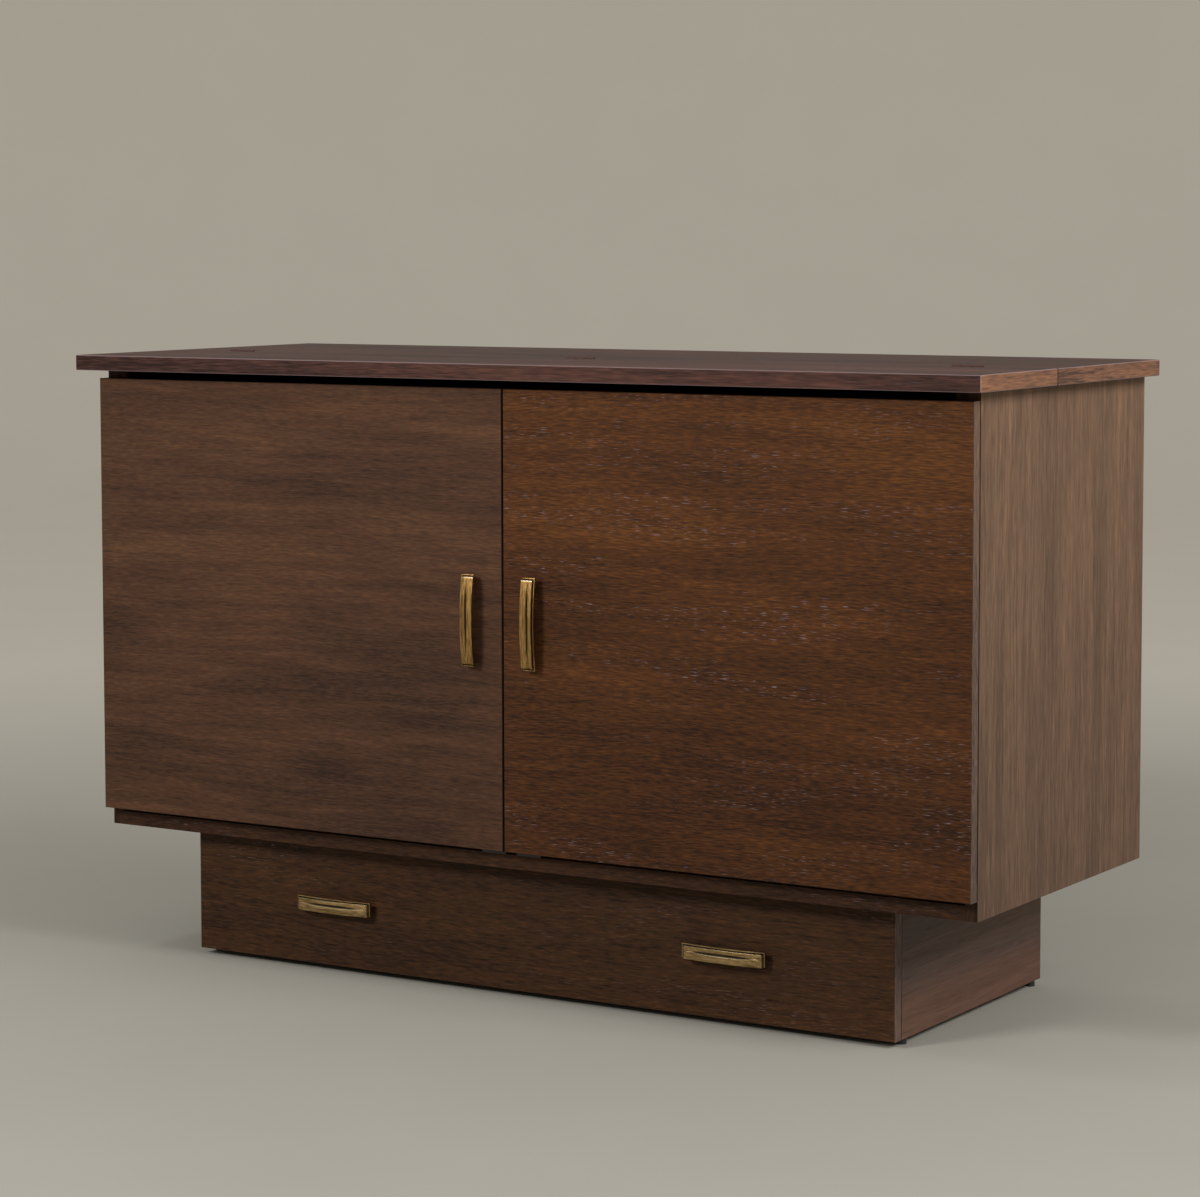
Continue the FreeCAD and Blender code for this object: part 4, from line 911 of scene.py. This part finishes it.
def ticking(name):
    """Woven cotton cover cloth, off-white, with a fine two-way weave."""
    finish = Finish(name)
    x, y, z = finish.place().values()
    thread = math.tau / thread_gap
    weave = (finish.maths("SINE", x * thread) + finish.maths("SINE", y * thread)
             + finish.maths("SINE", z * thread))
    cloud = finish.noise(x * 12, y * 12, z * 12, detail=4.0)
    slub = finish.noise(x * 90, y * 90, z * 700, detail=2.0)
    colour = finish.mixed(cloud, paint(196, 190, 178), paint(216, 211, 200))
    colour = finish.mixed(finish.rise(slub, 0.5, 0.8) * 0.4, colour, paint(176, 168, 152))
    finish.set(Base_Color=colour, Roughness=0.9, Sheen_Weight=0.25)
    finish.bump(weave * 0.3 + slub, 0.4, 0.3 * MM)
    return finish


def evaluated_mesh(thing):
    """An object's mesh as its modifiers leave it."""
    graph = bpy.context.evaluated_depsgraph_get()
    return bpy.data.meshes.new_from_object(thing.evaluated_get(graph))


def swollen_cover(cover):
    """The cover blown up by a short cloth simulation, no further than the swell at any point."""
    rest = [vert.co.copy() for vert in cover.data.vertices]
    cloth = cover.modifiers.new("swelling", "CLOTH")
    cloth.settings.use_pressure = True
    cloth.settings.uniform_pressure_force = cloth_pressure
    cloth.settings.effector_weights.gravity = 0
    cloth.settings.quality = 3
    for number in range(1, cloth_frames + 1):
        scene.frame_set(number)
    swollen = evaluated_mesh(cover)
    cover.modifiers.clear()
    for vert, start in zip(swollen.vertices, rest):
        move = vert.co - start
        vert.co = start + move * min(1, swell / max(move.length, 1e-9))
    scene.frame_set(1)
    return swollen


def foam_block(low, high):
    """One mattress part, swollen against its cover."""
    shape = bmesh.new()
    bmesh.ops.create_cube(shape, size=1)
    inset = Vector((1, 1, 1)) * 2 * (swell + cover_gap)
    bmesh.ops.scale(shape, verts=shape.verts, vec=high - low - inset)
    bmesh.ops.translate(shape, verts=shape.verts, vec=(low + high) / 2)
    bmesh.ops.bevel(shape, geom=shape.edges, offset=block_radius, offset_type="OFFSET",
                    affect="EDGES", segments=4, profile=0.5, material=-1)
    block = link("block", mesh_from("block", shape))
    remesh = block.modifiers.new("cloth_grid", "REMESH")
    remesh.mode = "VOXEL"
    remesh.voxel_size = cloth_grid
    cover = link("cover", evaluated_mesh(block))
    bpy.data.objects.remove(block)
    cover.data = swollen_cover(cover)
    rounding = cover.modifiers.new("rounding", "SUBSURF")
    rounding.levels = rounding.render_levels = 1
    mesh = evaluated_mesh(cover)
    bpy.data.objects.remove(cover)
    return mesh


def sew_channels(mesh, low, high):
    """Draw the cover in along a grid of quilting lines on both faces."""
    size = high - low
    facings = [item.vector.y for item in mesh.vertex_normals]
    for vert, facing in zip(mesh.vertices, facings):
        if abs(facing) < flat_enough:
            continue
        across = (vert.co.x - low.x) / size.x * channels_across
        upward = (vert.co.z - low.z) / size.z * channels_up
        to_line = min(abs(across - round(across)) * size.x / channels_across,
                      abs(upward - round(upward)) * size.z / channels_up)
        pull = channel_depth * math.exp(-(to_line / channel_half) ** 2)
        vert.co.y -= math.copysign(pull, facing)


def cord_ring(middle, half, side):
    """Points round one face of a mattress part, with a quarter turn at each corner."""
    ring = []
    for x_side, z_side, start in ((1, 1, 0), (-1, 1, 1), (-1, -1, 2), (1, -1, 3)):
        centre = Vector((middle.x + x_side * (half.x - cord_corner),
                         middle.y + side * (half.y - cord_inset),
                         middle.z + z_side * (half.z - cord_corner)))
        for step in range(cord_corner_steps + 1):
            angle = (start + step / cord_corner_steps) * math.pi / 2
            spoke = Vector((math.cos(angle), 0, math.sin(angle)))
            ring.append(centre + spoke * (cord_corner - cord_inset))
    points = []
    for first, second in zip(ring, ring[1:] + ring[:1]):
        pieces = max(1, round((second - first).length / cord_step))
        points += [first.lerp(second, step / pieces) for step in range(pieces)]
    return points


def corded_seam(name, mesh, low, high, finish):
    """Two closed cords, one round each face, laid on the cover along its edges."""
    cord = bpy.data.curves.new(name, "CURVE")
    cord.dimensions = "3D"
    cord.bevel_depth = cord_radius
    cord.bevel_resolution = 2
    surface = BVHTree.FromPolygons([vert.co for vert in mesh.vertices],
                                   [face.vertices for face in mesh.polygons])
    for side in (-1, 1):
        points = cord_ring((low + high) / 2, (high - low) / 2, side)
        spline = cord.splines.new("POLY")
        spline.points.add(len(points) - 1)
        for place, point in zip(spline.points, points):
            nearest, normal, _, _ = surface.find_nearest(point)
            place.co = (*(nearest + normal * MM), 1)
        spline.use_cyclic_u = True
    line = link(name, cord)
    tube = evaluated_mesh(line)
    bpy.data.objects.remove(line)
    tube.materials.clear()
    tube.materials.append(finish.material)
    tube.shade_smooth()
    piping = link(name, tube)
    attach(piping, "cabinet")


cover_cloth = ticking("cover_cloth")
sections = ("mattress_foot_section", "mattress_middle_section", "mattress_head_section")
first_low, first_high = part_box(sections[0])
foam = foam_block(first_low, first_high)
sew_channels(foam, first_low, first_high)
for section in sections:
    low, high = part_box(section)
    mesh = foam.copy()
    mesh.transform(Matrix.Translation(low - first_low))
    mesh.materials.append(cover_cloth.material)
    mesh.shade_smooth()
    padded = link(f"{section}_cover", mesh)
    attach(padded, "cabinet")
    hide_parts(section)
    corded_seam(f"{section}_piping", mesh, low, high, cover_cloth)
